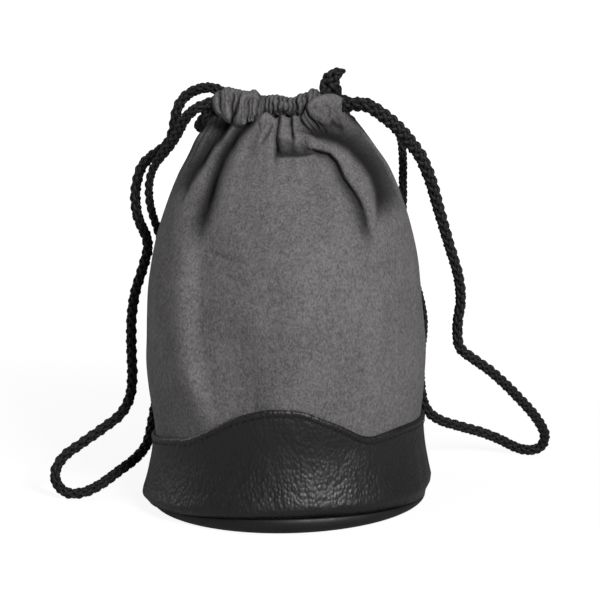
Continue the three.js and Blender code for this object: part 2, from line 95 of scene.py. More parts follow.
@dataclass(frozen=True)
class Profile:
    """A smooth curve through (position, value) points."""

    points: tuple[tuple[float, float], ...]

    def _slope(self, index: int) -> float:
        """The curve's slope at one of its points.

        Args:
            index: Which point.

        Returns:
            The slope between the points on both sides of it.
        """
        low = self.points[max(index - 1, 0)]
        high = self.points[min(index + 1, len(self.points) - 1)]
        return (high[1] - low[1]) / (high[0] - low[0])

    def at(self, position: float) -> float:
        """Reads the curve.

        Args:
            position: Where to read it; the end values hold outside the points.

        Returns:
            The curve's value there.
        """
        k = 0
        while k < len(self.points) - 2 and position > self.points[k + 1][0]:
            k += 1
        (start, first), (end, last) = self.points[k], self.points[k + 1]
        span = end - start
        t = clamp((position - start) / span)
        ends = first * (2 * t**3 - 3 * t**2 + 1) + last * (3 * t**2 - 2 * t**3)
        turns = self._slope(k) * (t**3 - 2 * t**2 + t) + self._slope(k + 1) * (t**3 - t**2)
        return ends + span * turns


class NodeDesk:
    """A short way to lay out a material's nodes."""

    def __init__(self, name: str) -> None:
        """Makes an empty material with an output and a Principled shader.

        Args:
            name: The material's name.
        """
        self.material = bpy.data.materials.new(name)
        self.material.use_nodes = True
        self.tree = self.material.node_tree
        self.tree.nodes.clear()
        self.output = self.add("ShaderNodeOutputMaterial")
        self.shader = self.add("ShaderNodeBsdfPrincipled")
        self.link(self.shader.outputs[0], self.output.inputs[0])
        self.coords = self.add("ShaderNodeTexCoord").outputs["Object"]

    def add(self, kind: str, **values: object) -> bpy.types.Node:
        """Adds a node and sets its properties.

        Args:
            kind: The node's type name.
            **values: Node properties by name.

        Returns:
            The new node.
        """
        node = self.tree.nodes.new(kind)
        for name, value in values.items():
            setattr(node, name, value)
        return node

    def link(self, source: bpy.types.NodeSocket, target: bpy.types.NodeSocket) -> None:
        """Joins two sockets."""
        self.tree.links.new(source, target)

    def stretched(self, scale: Point) -> bpy.types.NodeSocket:
        """Object coordinates stretched by a factor along each axis.

        Args:
            scale: The factors.

        Returns:
            The coordinates' socket.
        """
        node = self.add("ShaderNodeMapping")
        node.inputs["Scale"].default_value = scale
        self.link(self.coords, node.inputs["Vector"])
        return node.outputs[0]

    def noise(
        self,
        scale: float,
        detail: float = 3.0,
        rough: float = 0.55,
        coords: bpy.types.NodeSocket | None = None,
    ) -> bpy.types.NodeSocket:
        """Adds a noise texture.

        Args:
            scale: Features per metre, about.
            detail: Number of finer octaves.
            rough: How strong the finer octaves are.
            coords: Coordinates to use in place of the plain ones.

        Returns:
            The noise's value socket.
        """
        node = self.add("ShaderNodeTexNoise")
        node.inputs["Scale"].default_value = scale
        node.inputs["Detail"].default_value = detail
        node.inputs["Roughness"].default_value = rough
        self.link(coords or self.coords, node.inputs["Vector"])
        return node.outputs["Fac"]

    def domes(
        self, scale: float, coords: bpy.types.NodeSocket, soft: float = 0.45
    ) -> bpy.types.NodeSocket:
        """Adds a soft cell pattern, for grain.

        Args:
            scale: Cells per metre, about.
            coords: Coordinates to use.
            soft: How far the cells run into each other.

        Returns:
            The socket of the distance to the cells' middles.
        """
        node = self.add("ShaderNodeTexVoronoi", feature="SMOOTH_F1")
        node.inputs["Scale"].default_value = scale
        node.inputs["Smoothness"].default_value = soft
        self.link(coords, node.inputs["Vector"])
        return node.outputs["Distance"]

    def spread(
        self, value: bpy.types.NodeSocket, low: float, high: float, to_low: float, to_high: float
    ) -> bpy.types.NodeSocket:
        """Maps a value from one range to another, kept inside it.

        Args:
            value: The value's socket.
            low: Where the first range starts.
            high: Where it ends.
            to_low: What low becomes.
            to_high: What high becomes.

        Returns:
            The mapped value's socket.
        """
        node = self.add("ShaderNodeMapRange")
        for index, number in enumerate((low, high, to_low, to_high), start=1):
            node.inputs[index].default_value = number
        self.link(value, node.inputs[0])
        return node.outputs[0]

    def maths(
        self,
        operation: str,
        first: bpy.types.NodeSocket,
        second: bpy.types.NodeSocket | float,
    ) -> bpy.types.NodeSocket:
        """Joins two values with a maths operation.

        Args:
            operation: The operation's name.
            first: The first value's socket.
            second: The second value's socket, or a number.

        Returns:
            The result's socket.
        """
        node = self.add("ShaderNodeMath", operation=operation)
        self.link(first, node.inputs[0])
        if isinstance(second, (int, float)):
            node.inputs[1].default_value = second
        else:
            self.link(second, node.inputs[1])
        return node.outputs[0]

    def tint(self, share: bpy.types.NodeSocket, low: Point, high: Point) -> bpy.types.NodeSocket:
        """A colour between two, by share.

        Args:
            share: The share's socket, from 0 to 1.
            low: The colour at 0.
            high: The colour at 1.

        Returns:
            The colour's socket.
        """
        node = self.add("ShaderNodeMix", data_type="RGBA")
        node.inputs["A"].default_value = (*low, 1.0)
        node.inputs["B"].default_value = (*high, 1.0)
        self.link(share, node.inputs["Factor"])
        return node.outputs["Result"]

    def with_painted_shade(self, colour: bpy.types.NodeSocket, layer: str, deep: Point) -> bpy.types.NodeSocket:
        """A colour with shade painted into it: it goes to a deep one by the value of a mesh layer.

        Args:
            colour: The plain colour's socket.
            layer: Name of the mesh's own value layer, from 0 to 1.
            deep: The painted shade's colour, where the layer is 1.

        Returns:
            The colour's socket.
        """
        value = self.add("ShaderNodeAttribute", attribute_name=layer)
        node = self.add("ShaderNodeMix", data_type="RGBA")
        self.link(value.outputs["Fac"], node.inputs["Factor"])
        self.link(colour, node.inputs["A"])
        node.inputs["B"].default_value = (*deep, 1.0)
        return node.outputs["Result"]

    def relief(
        self,
        height: bpy.types.NodeSocket,
        strength: float,
        distance: float,
        under: bpy.types.NodeSocket | None = None,
    ) -> bpy.types.NodeSocket:
        """A bump from a height.

        Args:
            height: The height's socket.
            strength: From 0 to 1.
            distance: The real height in metres of a full step.
            under: A normal that this one adds to.

        Returns:
            The normal's socket.
        """
        node = self.add("ShaderNodeBump")
        node.inputs["Strength"].default_value = strength
        node.inputs["Distance"].default_value = distance
        self.link(height, node.inputs["Height"])
        if under is not None:
            self.link(under, node.inputs["Normal"])
        return node.outputs[0]

    def set(self, **values: float | tuple[float, ...]) -> None:
        """Sets the shader's own sockets by name, with _ for a space."""
        for name, value in values.items():
            self.shader.inputs[name.replace("_", " ")].default_value = value

    def feed(self, **sockets: bpy.types.NodeSocket) -> None:
        """Links sockets to the shader's inputs by name, with _ for a space."""
        for name, socket in sockets.items():
            self.link(socket, self.shader.inputs[name.replace("_", " ")])


def shade(colour: Point, factor: float) -> Point:
    """A colour made lighter or darker."""
    return tuple(channel * factor for channel in colour)


@dataclass(frozen=True)
class SuedeFinish:
    """Matt suede with a brushed, mottled nap, and shade painted into its colour in the folds."""

    name: str = "suede_nap"
    colour: Point = (0.1635, 0.1566, 0.1598)
    mottle: float = 0.38
    fold_shade_tone: float = 0.06
    patch_scale: float = 55.0
    patch_share: float = 0.18
    fleck_scale: float = 420.0
    fleck_share: float = 0.24
    fleck_height: float = 0.0006
    fibre_scale: float = 1250.0
    fibre_share: float = 0.58
    fibre_height: float = 0.0004
    fibre_stretch: Point = (1.0, 1.0, 0.7)

    def make(self) -> bpy.types.Material:
        """Builds the material.

        Returns:
            The material.
        """
        desk = NodeDesk(self.name)
        patches = desk.noise(self.patch_scale, detail=4.0, rough=0.6)
        flecks = desk.noise(self.fleck_scale, detail=3.0, rough=0.6)
        along = desk.stretched(self.fibre_stretch)
        fibres = desk.noise(self.fibre_scale, detail=2.0, rough=0.65, coords=along)
        broad = desk.maths("MULTIPLY", patches, self.patch_share)
        middling = desk.maths("MULTIPLY", flecks, self.fleck_share)
        fine = desk.maths("MULTIPLY", fibres, self.fibre_share)
        mixed = desk.maths("ADD", desk.maths("ADD", broad, middling), fine)
        share = desk.spread(mixed, 0.38, 0.62, 0.0, 1.0)
        low, high = shade(self.colour, 1.0 - self.mottle), shade(self.colour, 1.0 + self.mottle)
        nap_colour = desk.tint(share, low, high)
        # Painted shade: the fold layer darkens the nap's colour in folds, pockets, pleats and on the inner
        # face
        deep = shade(self.colour, self.fold_shade_tone)
        desk.feed(Base_Color=desk.with_painted_shade(nap_colour, FOLD_SHADE_LAYER, deep))
        nap = desk.relief(fibres, strength=0.6, distance=self.fibre_height)
        uneven = desk.relief(flecks, strength=0.5, distance=self.fleck_height, under=nap)
        desk.feed(Normal=uneven)
        desk.set(Roughness=0.95, Specular_IOR_Level=0.08, Sheen_Weight=0.04, Sheen_Roughness=0.6)
        return desk.material


@dataclass(frozen=True)
class GrainFinish:
    """Leather with small rounded pebbles and a broad, soft sheen."""

    name: str = "band_grain"
    colour: Point = (0.0045, 0.0045, 0.0045)
    grain: float = 760.0
    grain_stretch: Point = (1.0, 1.0, 0.68)
    grain_height: float = 0.00045
    fold_scale: float = 210.0
    fold_share: float = 0.5
    patch_scale: float = 70.0
    roughness: Span = (0.42, 0.53)
    specular: float = 0.7

    def make(self) -> bpy.types.Material:
        """Builds the material.

        Returns:
            The material.
        """
        desk = NodeDesk(self.name)
        coords = desk.stretched(self.grain_stretch)
        pebbles = desk.spread(desk.domes(self.grain, coords), 0.0, 0.9, 1.0, 0.0)
        waves = desk.noise(self.fold_scale, detail=3.0, rough=0.6, coords=coords)
        folds = desk.spread(waves, 0.35, 0.65, 0.0, 1.0)
        height = desk.maths("ADD", pebbles, desk.maths("MULTIPLY", folds, self.fold_share))
        desk.feed(Normal=desk.relief(height, strength=0.6, distance=self.grain_height))
        clouds = desk.noise(self.patch_scale, detail=3.0, rough=0.6)
        patches = desk.spread(clouds, 0.35, 0.65, 0.0, 1.0)
        desk.feed(Base_Color=desk.tint(patches, shade(self.colour, 0.8), shade(self.colour, 1.25)))
        desk.feed(Roughness=desk.spread(folds, 0.0, 1.0, *self.roughness))
        desk.set(Specular_IOR_Level=self.specular)
        return desk.material


@dataclass(frozen=True)
class SmoothLeatherFinish:
    """Smooth dark leather with faint pores."""

    name: str = "rim_leather"
    colour: Point = (0.0075, 0.0075, 0.0075)
    pore_scale: float = 900.0
    pore_height: float = 0.0003
    wear_scale: float = 90.0
    wear_tone: float = 1.5
    roughness: Span = (0.42, 0.56)

    def make(self) -> bpy.types.Material:
        """Builds the material.

        Returns:
            The material.
        """
        desk = NodeDesk(self.name)
        pores = desk.noise(self.pore_scale, detail=3.0, rough=0.6)
        clouds = desk.noise(self.wear_scale, detail=4.0, rough=0.6)
        wear = desk.spread(clouds, 0.4, 0.7, 0.0, 1.0)
        desk.feed(Base_Color=desk.tint(wear, self.colour, shade(self.colour, self.wear_tone)))
        desk.feed(Roughness=desk.spread(pores, 0.3, 0.7, *self.roughness))
        desk.feed(Normal=desk.relief(pores, strength=0.25, distance=self.pore_height))
        return desk.material


@dataclass(frozen=True)
class YarnFinish:
    """Spun yarn, for cords and threads."""

    name: str
    colour: Point
    roughness: float = 0.62
    fibre_scale: float = 2600.0
    fibre_height: float = 0.0002
    tone_scale: float = 500.0

    def make(self) -> bpy.types.Material:
        """Builds the material.

        Returns:
            The material.
        """
        desk = NodeDesk(self.name)
        fibres = desk.noise(self.fibre_scale, detail=2.0, rough=0.6)
        clouds = desk.noise(self.tone_scale, detail=2.0, rough=0.5)
        tone = desk.spread(clouds, 0.35, 0.65, 0.0, 1.0)
        desk.feed(Base_Color=desk.tint(tone, shade(self.colour, 0.75), shade(self.colour, 1.35)))
        desk.feed(Normal=desk.relief(fibres, strength=0.5, distance=self.fibre_height))
        desk.set(Roughness=self.roughness, Specular_IOR_Level=0.4)
        return desk.material


@dataclass(frozen=True)
class PlainClothFinish:
    """Plain hidden layers: lining, foam and board."""

    name: str
    colour: Point
    weave: float = 1400.0
    weave_height: float = 0.0003

    def make(self) -> bpy.types.Material:
        """Builds the material.

        Returns:
            The material.
        """
        desk = NodeDesk(self.name)
        weave = desk.noise(self.weave, detail=2.0, rough=0.5)
        desk.feed(Base_Color=desk.tint(weave, shade(self.colour, 0.8), shade(self.colour, 1.2)))
        desk.feed(Normal=desk.relief(weave, strength=0.4, distance=self.weave_height))
        desk.set(Roughness=0.92, Specular_IOR_Level=0.15)
        return desk.material


def put(mesh: bmesh.types.BMesh, name: str, material: bpy.types.Material) -> bpy.types.Object:
    """Makes a smooth-shaded object at the origin from a bmesh, and frees the bmesh.

    Args:
        mesh: The finished bmesh.
        name: The piece's name.
        material: Its material.

    Returns:
        The new object.
    """
    data = bpy.data.meshes.new(name)
    mesh.to_mesh(data)
    mesh.free()
    data.shade_smooth()
    data.materials.append(material)
    piece = bpy.data.objects.new(name, data)
    bpy.context.scene.collection.objects.link(piece)
    return piece


def thicken(piece: bpy.types.Object, thickness: float) -> None:
    """Gives a sheet its thickness on the inside.

    Args:
        piece: The sheet.
        thickness: In metres.
    """
    wall = piece.modifiers.new("wall", "SOLIDIFY")
    wall.thickness = thickness
    wall.offset = -1.0


def tube_grid(around: int, rows: int) -> bmesh.types.BMesh:
    """An open tube of unit radius and height, with its rings at equal steps.

    Args:
        around: Number of columns.
        rows: Number of rows.

    Returns:
        The bmesh; z runs from 0 to 1.
    """
    mesh = bmesh.new()
    bmesh.ops.create_cone(mesh, cap_ends=False, segments=around, radius1=1.0, radius2=1.0, depth=1.0)
    bmesh.ops.translate(mesh, verts=mesh.verts, vec=(0.0, 0.0, 0.5))
    upright = [e for e in mesh.edges if abs(e.verts[0].co.z - e.verts[1].co.z) > 0.5]
    bmesh.ops.subdivide_edges(mesh, edges=upright, cuts=rows - 1, use_grid_fill=True)
    return mesh


def from_front(co: Vector) -> float:
    """The angle in degrees round the axis from the front, positive to the right."""
    return math.degrees(math.atan2(co.x, -co.y))


@dataclass(frozen=True)
class Crease:
    """A fold line in the front view, in millimetres, that presses the suede in and paints shade into its
    colour.

    Attributes:
        line: The fold's points in order.
        depth: How far it presses in; a negative one swells out.
        left_width: How wide its slope is, on the left of a line that runs down.
        right_width: The same on the right.
        roll: How far the suede stands out beside the steeper slope.
        widen: How many times wider it is at its end.
        dark: How dark the shade painted at its bottom is, from 0 to 1.
        shade: How wide the painted shade is, as a share of the slope.
        sharp: The power of its section, where 2 is a soft bell.
        reach: How many widths away it is no longer felt.
        least_width: The smallest width that counts for the reach.
        start: The share of its length over which it sets in.
        fade_from: The share of its length from which it runs out.
        dark_until: The share of its length up to which its painted shade holds.
        roll_at: Where the roll stands, in widths of the steeper slope.
        roll_width: How wide the roll is, in the same widths.
    """

    line: tuple[tuple[float, float], ...]
    depth: float
    left_width: float
    right_width: float
    roll: float = 0.0
    widen: float = 1.6
    dark: float = 0.3
    shade: float = 0.85
    sharp: float = 1.35
    reach: float = 3.4
    least_width: float = 4.0
    start: float = 0.12
    fade_from: float = 0.7
    dark_until: float = 0.82
    roll_at: float = 3.2
    roll_width: float = 2.2

    def near(self, x: float, z: float, reach: float) -> bool:
        """Whether a point can feel the crease at all."""
        xs, zs = [p[0] for p in self.line], [p[1] for p in self.line]
        return min(xs) - reach < x < max(xs) + reach and min(zs) - reach < z < max(zs) + reach

    def feel(self, x: float, z: float) -> tuple[float, float]:
        """What the crease does at a point of the front view.

        Args:
            x: Across, in millimetres.
            z: Up, in millimetres.

        Returns:
            How far the surface moves in, in millimetres, negative on the raised roll beside the line; and how
            dark the shade painted into the fold is there, from 0 to 1.
        """
        widest = max(self.left_width, self.right_width, self.least_width)
        if not self.near(x, z, self.reach * widest * max(self.widen, 1.0)):
            return 0.0, 0.0
        best, side, share = math.inf, 1.0, 0.0
        spans = len(self.line) - 1
        for k in range(spans):
            (ax, az), (bx, bz) = self.line[k], self.line[k + 1]
            dx, dz = bx - ax, bz - az
            t = clamp(((x - ax) * dx + (z - az) * dz) / (dx * dx + dz * dz))
            ox, oz = x - ax - t * dx, z - az - t * dz
            away = math.hypot(ox, oz)
            if away < best:
                best, share = away, (k + t) / spans
                side = 1.0 if dx * oz - dz * ox > 0 else -1.0
        grow = 1.0 + (self.widen - 1.0) * share
        steep = min(self.left_width, self.right_width) * grow
        width = (self.right_width if side > 0 else self.left_width) * grow
        rolled = (self.right_width < self.left_width) == (side > 0)
        fade = (1.0 - rise(share, self.fade_from, 1.0)) * (0.5 + 0.5 * rise(share, 0.0, self.start))
        valley = self.depth * math.exp(-((best / width) ** self.sharp))
        ridge = self.roll * bump(best - self.roll_at * steep, self.roll_width * steep) if rolled else 0.0
        # Painted shadow along the bottom of the fold
        shadow = self.dark * bump(best, self.shade * width)
        return (valley - ridge) * fade, shadow * (1.0 - rise(share, self.dark_until, 1.0))


@dataclass(frozen=True)
class Pocket:
    """The pocket under the middle pleats, pressed in and with shade painted into it, in millimetres of the
    front view.

    Attributes:
        tall: How tall it is over its lower lip, by the place across.
        lip: The height of the lower lip.
        tilt: How fast the lip climbs to the right of tilt_from.
        tilt_from: Where the lip starts to climb.
        left: Where it sets in on the left, and where it is full.
        right: Where it starts to run out on the right, and where it ends.
        press: How deep it is, as a share of its height.
        press_power: How fast the depth runs out upwards.
        puff: How far the suede above it stands out.
        puff_lift: How far above it the puff's middle is.
        puff_width: How tall the puff is.
        dark: How dark the painted shade is along the lip, from 0 to 1.
    """

    tall: Profile = Profile(
        (
            (-3.0, 7.3), (0.0, 7.2), (3.0, 6.9), (6.0, 6.3), (9.0, 4.8), (11.5, 3.2), (14.0, 1.3),
            (17.0, 0.8),
        )
    )
    lip: float = 147.0
    tilt: float = 0.15
    tilt_from: float = 9.0
    left: Span = (-2.0, -1.1)
    right: Span = (12.0, 16.0)
    press: float = 0.8
    press_power: float = 1.2
    puff: float = 1.2
    puff_lift: float = 2.4
    puff_width: float = 2.6
    dark: float = 0.88

    def feel(self, x: float, z: float) -> tuple[float, float]:
        """What the pocket does at a point of the front view.

        Args:
            x: Across, in millimetres.
            z: Up, in millimetres.

        Returns:
            How far the surface moves in, in millimetres, and how dark the shade painted there is, from 0 to
            1.
        """
        lip = self.lip + self.tilt * max(0.0, x - self.tilt_from)
        tall = self.tall.at(x)
        across = rise(x, *self.left) * (1.0 - rise(x, *self.right))
        up = clamp((z - lip) / tall)
        hollow = rise(z, lip - 0.3, lip + 0.6) * (1.0 - up) ** self.press_power
        # The painted shadow stays dark higher up on the left than on the right
        shadow = rise(z, lip - 0.4, lip + 0.1) * (1.0 - up) ** (0.55 + 0.05 * max(0.0, x))
        puffs = bump(z - lip - tall - self.puff_lift, self.puff_width)
        return across * (self.press * tall * hollow - self.puff * puffs), self.dark * across * shadow


@dataclass(frozen=True)
class Swell:
    """A place on one side where the body is fuller, or slimmer with a negative amount.

    Attributes:
        side: Which side.
        amount: In millimetres.
        height: The height of its middle.
        spread: How far it reaches up and down.
        start: The angle from the front, in degrees, where it sets in.
        full: The angle where it is full.
    """

    side: Side
    amount: float
    height: float
    spread: float
    start: float
    full: float

    def at(self, angle: float, z: float) -> float:
        """How much wider the body is at an angle and a height."""
        aside = rise(self.side.value * angle, self.start, self.full)
        return self.amount * bump(z - self.height, self.spread) * aside


@dataclass
class SuedeBody:
    """The soft body: a round wall that is gathered to the drawn mouth.

    Lengths are in millimetres, and angles in degrees from the front. A pair says where something starts
    and where it is complete.
    """

    bottom: float = 6.3
    columns: int = 420
    front_spacing: float = 0.55
    outer_rows: int = 200
    low_rows: float = 0.15
    low_height: float = 92.0
    edge_rows: int = 6
    inner_rows: int = 26
    inner_turn: float = 14.0
    inner_dark: float = 0.3
    thickness: float = 1.2
    edge_radius: float = 1.5
    edge_blend: float = 9.0
    clear_below: Span = (8.5, 3.0)
    fold_room: float = 12.5
    room_from: Span = (96.0, 124.0)
    folds_from: float = 100.0
    turned_away: float = 0.25
    held_share: float = 0.25
    free_from: Span = (30.0, 58.0)
    lean: float = 0.012
    lean_start: float = 60.0
    bend_height: float = 140.0
    bend_power: float = 1.35
    slow_softness: float = 1.5
    slow_scale: float = 0.034
    slow_stretch: float = 0.35
    quick_softness: float = 0.45
    quick_scale: float = 0.085
    quick_stretch: float = 0.6
    quick_offset: float = 90.0
    soft_from: Span = (48.0, 70.0)
    ripple: float = 0.3
    ripple_rate: float = 0.62
    ripple_shift: float = 1.7
    shift_rate: float = 0.11
    ripple_from: Span = (128.0, 150.0)
    plain_from: Span = (14.0, 22.0)
    plain_until: Span = (80.0, 95.0)
    lobe_lift: float = 1.2
    lobe_from: Span = (17.5, 20.0)
    lobe_until: Span = (28.0, 62.0)
    lobe_rise: Span = (148.0, 164.0)
    seam_depth: float = 0.7
    seam_width: float = 1.1
    smoothing: float = 0.3
    pocket: Pocket = Pocket()
    swells: tuple[Swell, ...] = (
        Swell(Side.LEFT, 2.5, 153.0, 9.0, 30.0, 70.0),
        Swell(Side.RIGHT, -1.3, 78.0, 24.0, 35.0, 75.0),
        Swell(Side.RIGHT, -1.2, 161.0, 4.0, 60.0, 85.0),
    )
    half_width: Profile = Profile(
        (
            (5.2, 54.3), (32.9, 54.8), (48.4, 56.8), (64.0, 57.8), (91.7, 56.3), (114.2, 52.2),
            (136.7, 43.4), (149.0, 35.2), (158.5, 29.0), (166.0, 27.4), (173.0, 25.5),
        )
    )
    half_depth: Profile = Profile(
        (
            (5.2, 54.3), (32.9, 54.8), (48.4, 56.8), (64.0, 57.8), (91.7, 55.8), (114.2, 48.6),
            (136.7, 34.8), (148.0, 24.5),
        )
    )
    top_edge: Profile = Profile(
        (
            (-180, 155.0), (-115, 156.0), (-90, 158.8), (-70, 160.6), (-50, 160.4), (-26, 159.4),
            (-18, 160.6), (-12.5, 162.3), (-8, 161.4), (-3.7, 159.7), (1.5, 161.3), (7.5, 159.8),
            (11.6, 161.0), (15.5, 160.3), (18.5, 161.0), (20.8, 163.0), (23.0, 165.0), (26.4, 166.8),
            (34, 168.4), (45, 168.9), (54.6, 168.6), (64.5, 167.3),
            (76, 164.4), (90, 159.4), (110, 155.6), (180, 155.0),
        )
    )
    top_depth: Profile = Profile(
        (
            (-180, 13.2), (-100, 13.2), (-60, 15.0), (-20, 16.8), (14, 17.4), (26, 19.0), (44, 19.6),
            (70, 18.0), (96, 14.0), (180, 13.2),
        )
    )
    # The numbers after a crease's line are its depth, its two widths, roll, widening, the darkness of its
    # painted shade and that shade's width
    creases: tuple[Crease, ...] = (
        Crease(
            (
                (-8.6, 163.0), (-10.8, 160.6), (-13.4, 157.6), (-15.8, 155.5), (-18.1, 153.3),
                (-20.1, 150.2), (-22.2, 147.5), (-24.0, 144.5), (-26.2, 138.2), (-27.6, 132.4),
                (-29.2, 127.8), (-30.5, 122.8), (-32.7, 116.5), (-35.6, 108.0),
            ),
            8.0, 0.8, 0.45, 0.4, 6.6, 0.95, 1.1,
        ),
        Crease(
            (
                (-20.2, 159.6), (-20.9, 158.0), (-23.0, 155.5), (-25.6, 152.0), (-28.4, 148.9),
                (-30.4, 145.6), (-32.1, 142.8), (-34.8, 139.6), (-37.0, 136.0), (-39.2, 131.0),
                (-42.0, 125.0),
            ),
            6.0, 3.0, 0.45, 0.5, 1.6, 0.92, 1.15,
        ),
        Crease(
            (
                (13.4, 149.2), (15.3, 148.3), (19.7, 147.0), (22.4, 144.0), (25.0, 138.1), (28.7, 132.8),
                (31.1, 128.7), (33.0, 124.1), (35.5, 117.0), (37.5, 109.0),
            ),
            4.4, 1.1, 0.6, 0.8, 3.0, 0.8, 1.0,
        ),
        Crease(
            (
                (9.2, 168.0), (9.7, 165.4), (10.4, 163.9), (11.1, 162.2), (14.1, 159.1), (15.8, 156.3),
                (17.7, 153.4),
            ),
            3.2, 0.7, 0.5, 0.0, 1.2, 0.7,
        ),
        Crease(((14.6, 160.2), (16.0, 158.3), (17.9, 155.8), (18.4, 153.1)), 1.6, 0.5, 0.6, 0.0, 1.2, 0.65),
        Crease(((16.2, 158.5), (18.2, 157.3), (19.9, 157.1), (21.0, 158.6)), 1.0, 0.8, 0.8, 0.0, 1.2, 0.4),
        Crease(
            ((20.6, 159.2), (21.2, 158.1), (22.6, 157.0), (23.9, 156.4), (25.5, 154.4)),
            2.0, 0.9, 1.4, 0.0, 1.2, 0.75,
        ),
        Crease(((13.4, 165.6), (16.2, 163.8), (18.0, 162.0)), 0.6, 1.2, 1.2, 0.0, 1.2, 0.3),
        Crease(((12.2, 163.4), (13.6, 161.8), (15.6, 160.8), (17.4, 160.8)), 0.6, 0.7, 0.7, 0.0, 1.2, 0.35),
        Crease(((18.4, 166.4), (19.6, 164.4), (19.8, 162.4), (19.0, 160.4)), 1.1, 0.8, 0.8, 0.0, 1.2, 0.42),
        Crease(((22.4, 165.0), (23.0, 162.6), (23.6, 160.4), (24.6, 158.4)), 0.7, 1.3, 1.3, 0.0, 1.2, 0.28),
        Crease(
            (
                (14.2, 154.2), (18.2, 152.9), (22.8, 151.2), (27.6, 148.1), (30.5, 144.5), (32.6, 142.2),
                (35.7, 137.5), (38.0, 131.7), (39.2, 124.5), (40.4, 117.5),
            ),
            7.5, 0.4, 5.4, 0.8, 1.8, 0.95, 1.2,
        ),
        Crease(
            (
                (-0.3, 163.4), (-0.4, 162.0), (-1.1, 157.8), (-1.6, 152.7), (-1.5, 149.0), (-1.5, 147.0),
                (-1.6, 144.0),
            ),
            2.4, 0.6, 0.5, 0.3, 1.2, 0.42,
        ),
        Crease(
            ((3.8, 163.2), (4.0, 161.8), (4.3, 158.3), (5.0, 154.3), (5.4, 152.0)),
            2.8, 0.6, 0.6, 0.0, 1.3, 0.62,
        ),
        Crease(
            ((6.0, 163.4), (6.8, 162.0), (9.2, 158.8), (12.1, 156.1), (13.6, 154.4)),
            1.8, 0.45, 0.45, 0.0, 1.2, 0.62,
        ),
        Crease(
            ((7.8, 164.0), (8.7, 162.9), (11.1, 159.7), (13.5, 156.7), (15.0, 154.8)),
            1.6, 0.45, 0.45, 0.0, 1.2, 0.6,
        ),
        Crease(
            ((-3.0, 159.0), (-3.7, 157.6), (-5.5, 154.5), (-6.9, 152.3), (-7.6, 150.8)),
            1.3, 0.5, 0.5, 0.0, 1.3, 0.5,
        ),
        Crease(((-8.6, 159.2), (-8.0, 157.5), (-7.4, 156.0)), 0.9, 0.5, 0.5, 0.0, 1.2, 0.4),
        Crease(((-5.6, 160.6), (-6.2, 158.6), (-7.2, 157.0)), 0.8, 0.5, 0.5, 0.0, 1.2, 0.3),
        Crease(
            ((-12.5, 150.8), (-10.5, 149.0), (-8.5, 149.2), (-7.0, 151.4)),
            0.9, 2.2, 2.2, 0.0, 1.0, 0.16,
        ),
        Crease(
            ((-24.5, 159.0), (-27.5, 154.5), (-31.0, 149.0), (-35.0, 143.0), (-40.0, 135.0)),
            1.2, 6.0, 2.4, 0.0, 1.2, 0.34, 1.0,
        ),
    )
    # Wide, slow folds and swells of the front, then six small wrinkles at two thirds of its height; most of
    # them also paint a little shade
    slow_folds: tuple[Crease, ...] = (
        Crease(
            (
                (-38.6, 124.0), (-39.2, 112.0), (-39.4, 98.0), (-38.8, 82.0), (-37.0, 66.0),
                (-33.0, 50.0), (-26.0, 26.0),
            ),
            -3.0, 9.0, 5.4, 0.0, 1.0, 0.0, sharp=2.0,
        ),
        Crease(
            (
                (-29.8, 120.0), (-30.2, 112.0), (-30.2, 98.0), (-29.4, 82.0), (-27.4, 66.0),
                (-22.8, 50.0), (-15.0, 26.0),
            ),
            3.0, 5.4, 15.0, 0.0, 1.0, 0.0, sharp=2.0,
        ),
        Crease(
            ((-14.6, 82.0), (-13.2, 72.0), (-11.6, 62.0), (-9.0, 50.0), (-5.0, 28.0)),
            2.6, 9.0, 7.5, 0.0, 1.0, 0.09, sharp=2.0,
        ),
        Crease(
            ((12.0, 112.0), (14.0, 98.0), (15.5, 86.0), (16.0, 76.0), (14.0, 64.0), (12.0, 50.0)),
            -2.6, 14.0, 8.0, 0.0, 1.0, 0.0, sharp=2.0,
        ),
        Crease(
            ((33.8, 80.0), (33.2, 70.0), (32.8, 60.0), (31.9, 46.0), (31.0, 34.0)),
            1.2, 6.0, 4.2, 0.0, 1.0, 0.06, sharp=2.0,
        ),
        Crease(
            ((13.0, 148.0), (13.5, 142.0), (14.6, 134.0), (17.0, 125.0), (17.6, 114.0)),
            1.0, 4.4, 4.4, 0.0, 1.0, 0.06, sharp=2.0,
        ),
        Crease(
            ((-28.0, 111.8), (-24.0, 110.8), (-19.0, 109.2), (-14.0, 108.6), (-10.0, 110.2)),
            0.6, 1.1, 1.3, 0.0, 1.2, 0.14,
        ),
        Crease(
            ((-23.0, 106.0), (-19.0, 103.0), (-15.0, 101.4), (-11.0, 102.2)),
            0.5, 1.0, 1.3, 0.0, 1.2, 0.12,
        ),
        Crease(((-3.0, 119.0), (0.5, 121.0), (4.0, 123.4), (8.0, 126.8)), 0.5, 1.0, 1.3, 0.0, 1.2, 0.13),
        Crease(((3.0, 115.6), (7.0, 117.0), (10.5, 119.6), (13.0, 123.0)), 0.5, 1.0, 1.3, 0.0, 1.2, 0.13),
        Crease(((12.6, 112.4), (15.0, 116.0), (18.5, 117.6), (22.0, 115.4)), 0.5, 1.0, 1.3, 0.0, 1.2, 0.12),
        Crease(((35.0, 106.0), (38.0, 103.6), (41.0, 103.8), (44.0, 106.0)), 0.5, 1.0, 1.3, 0.0, 1.2, 0.12),
    )
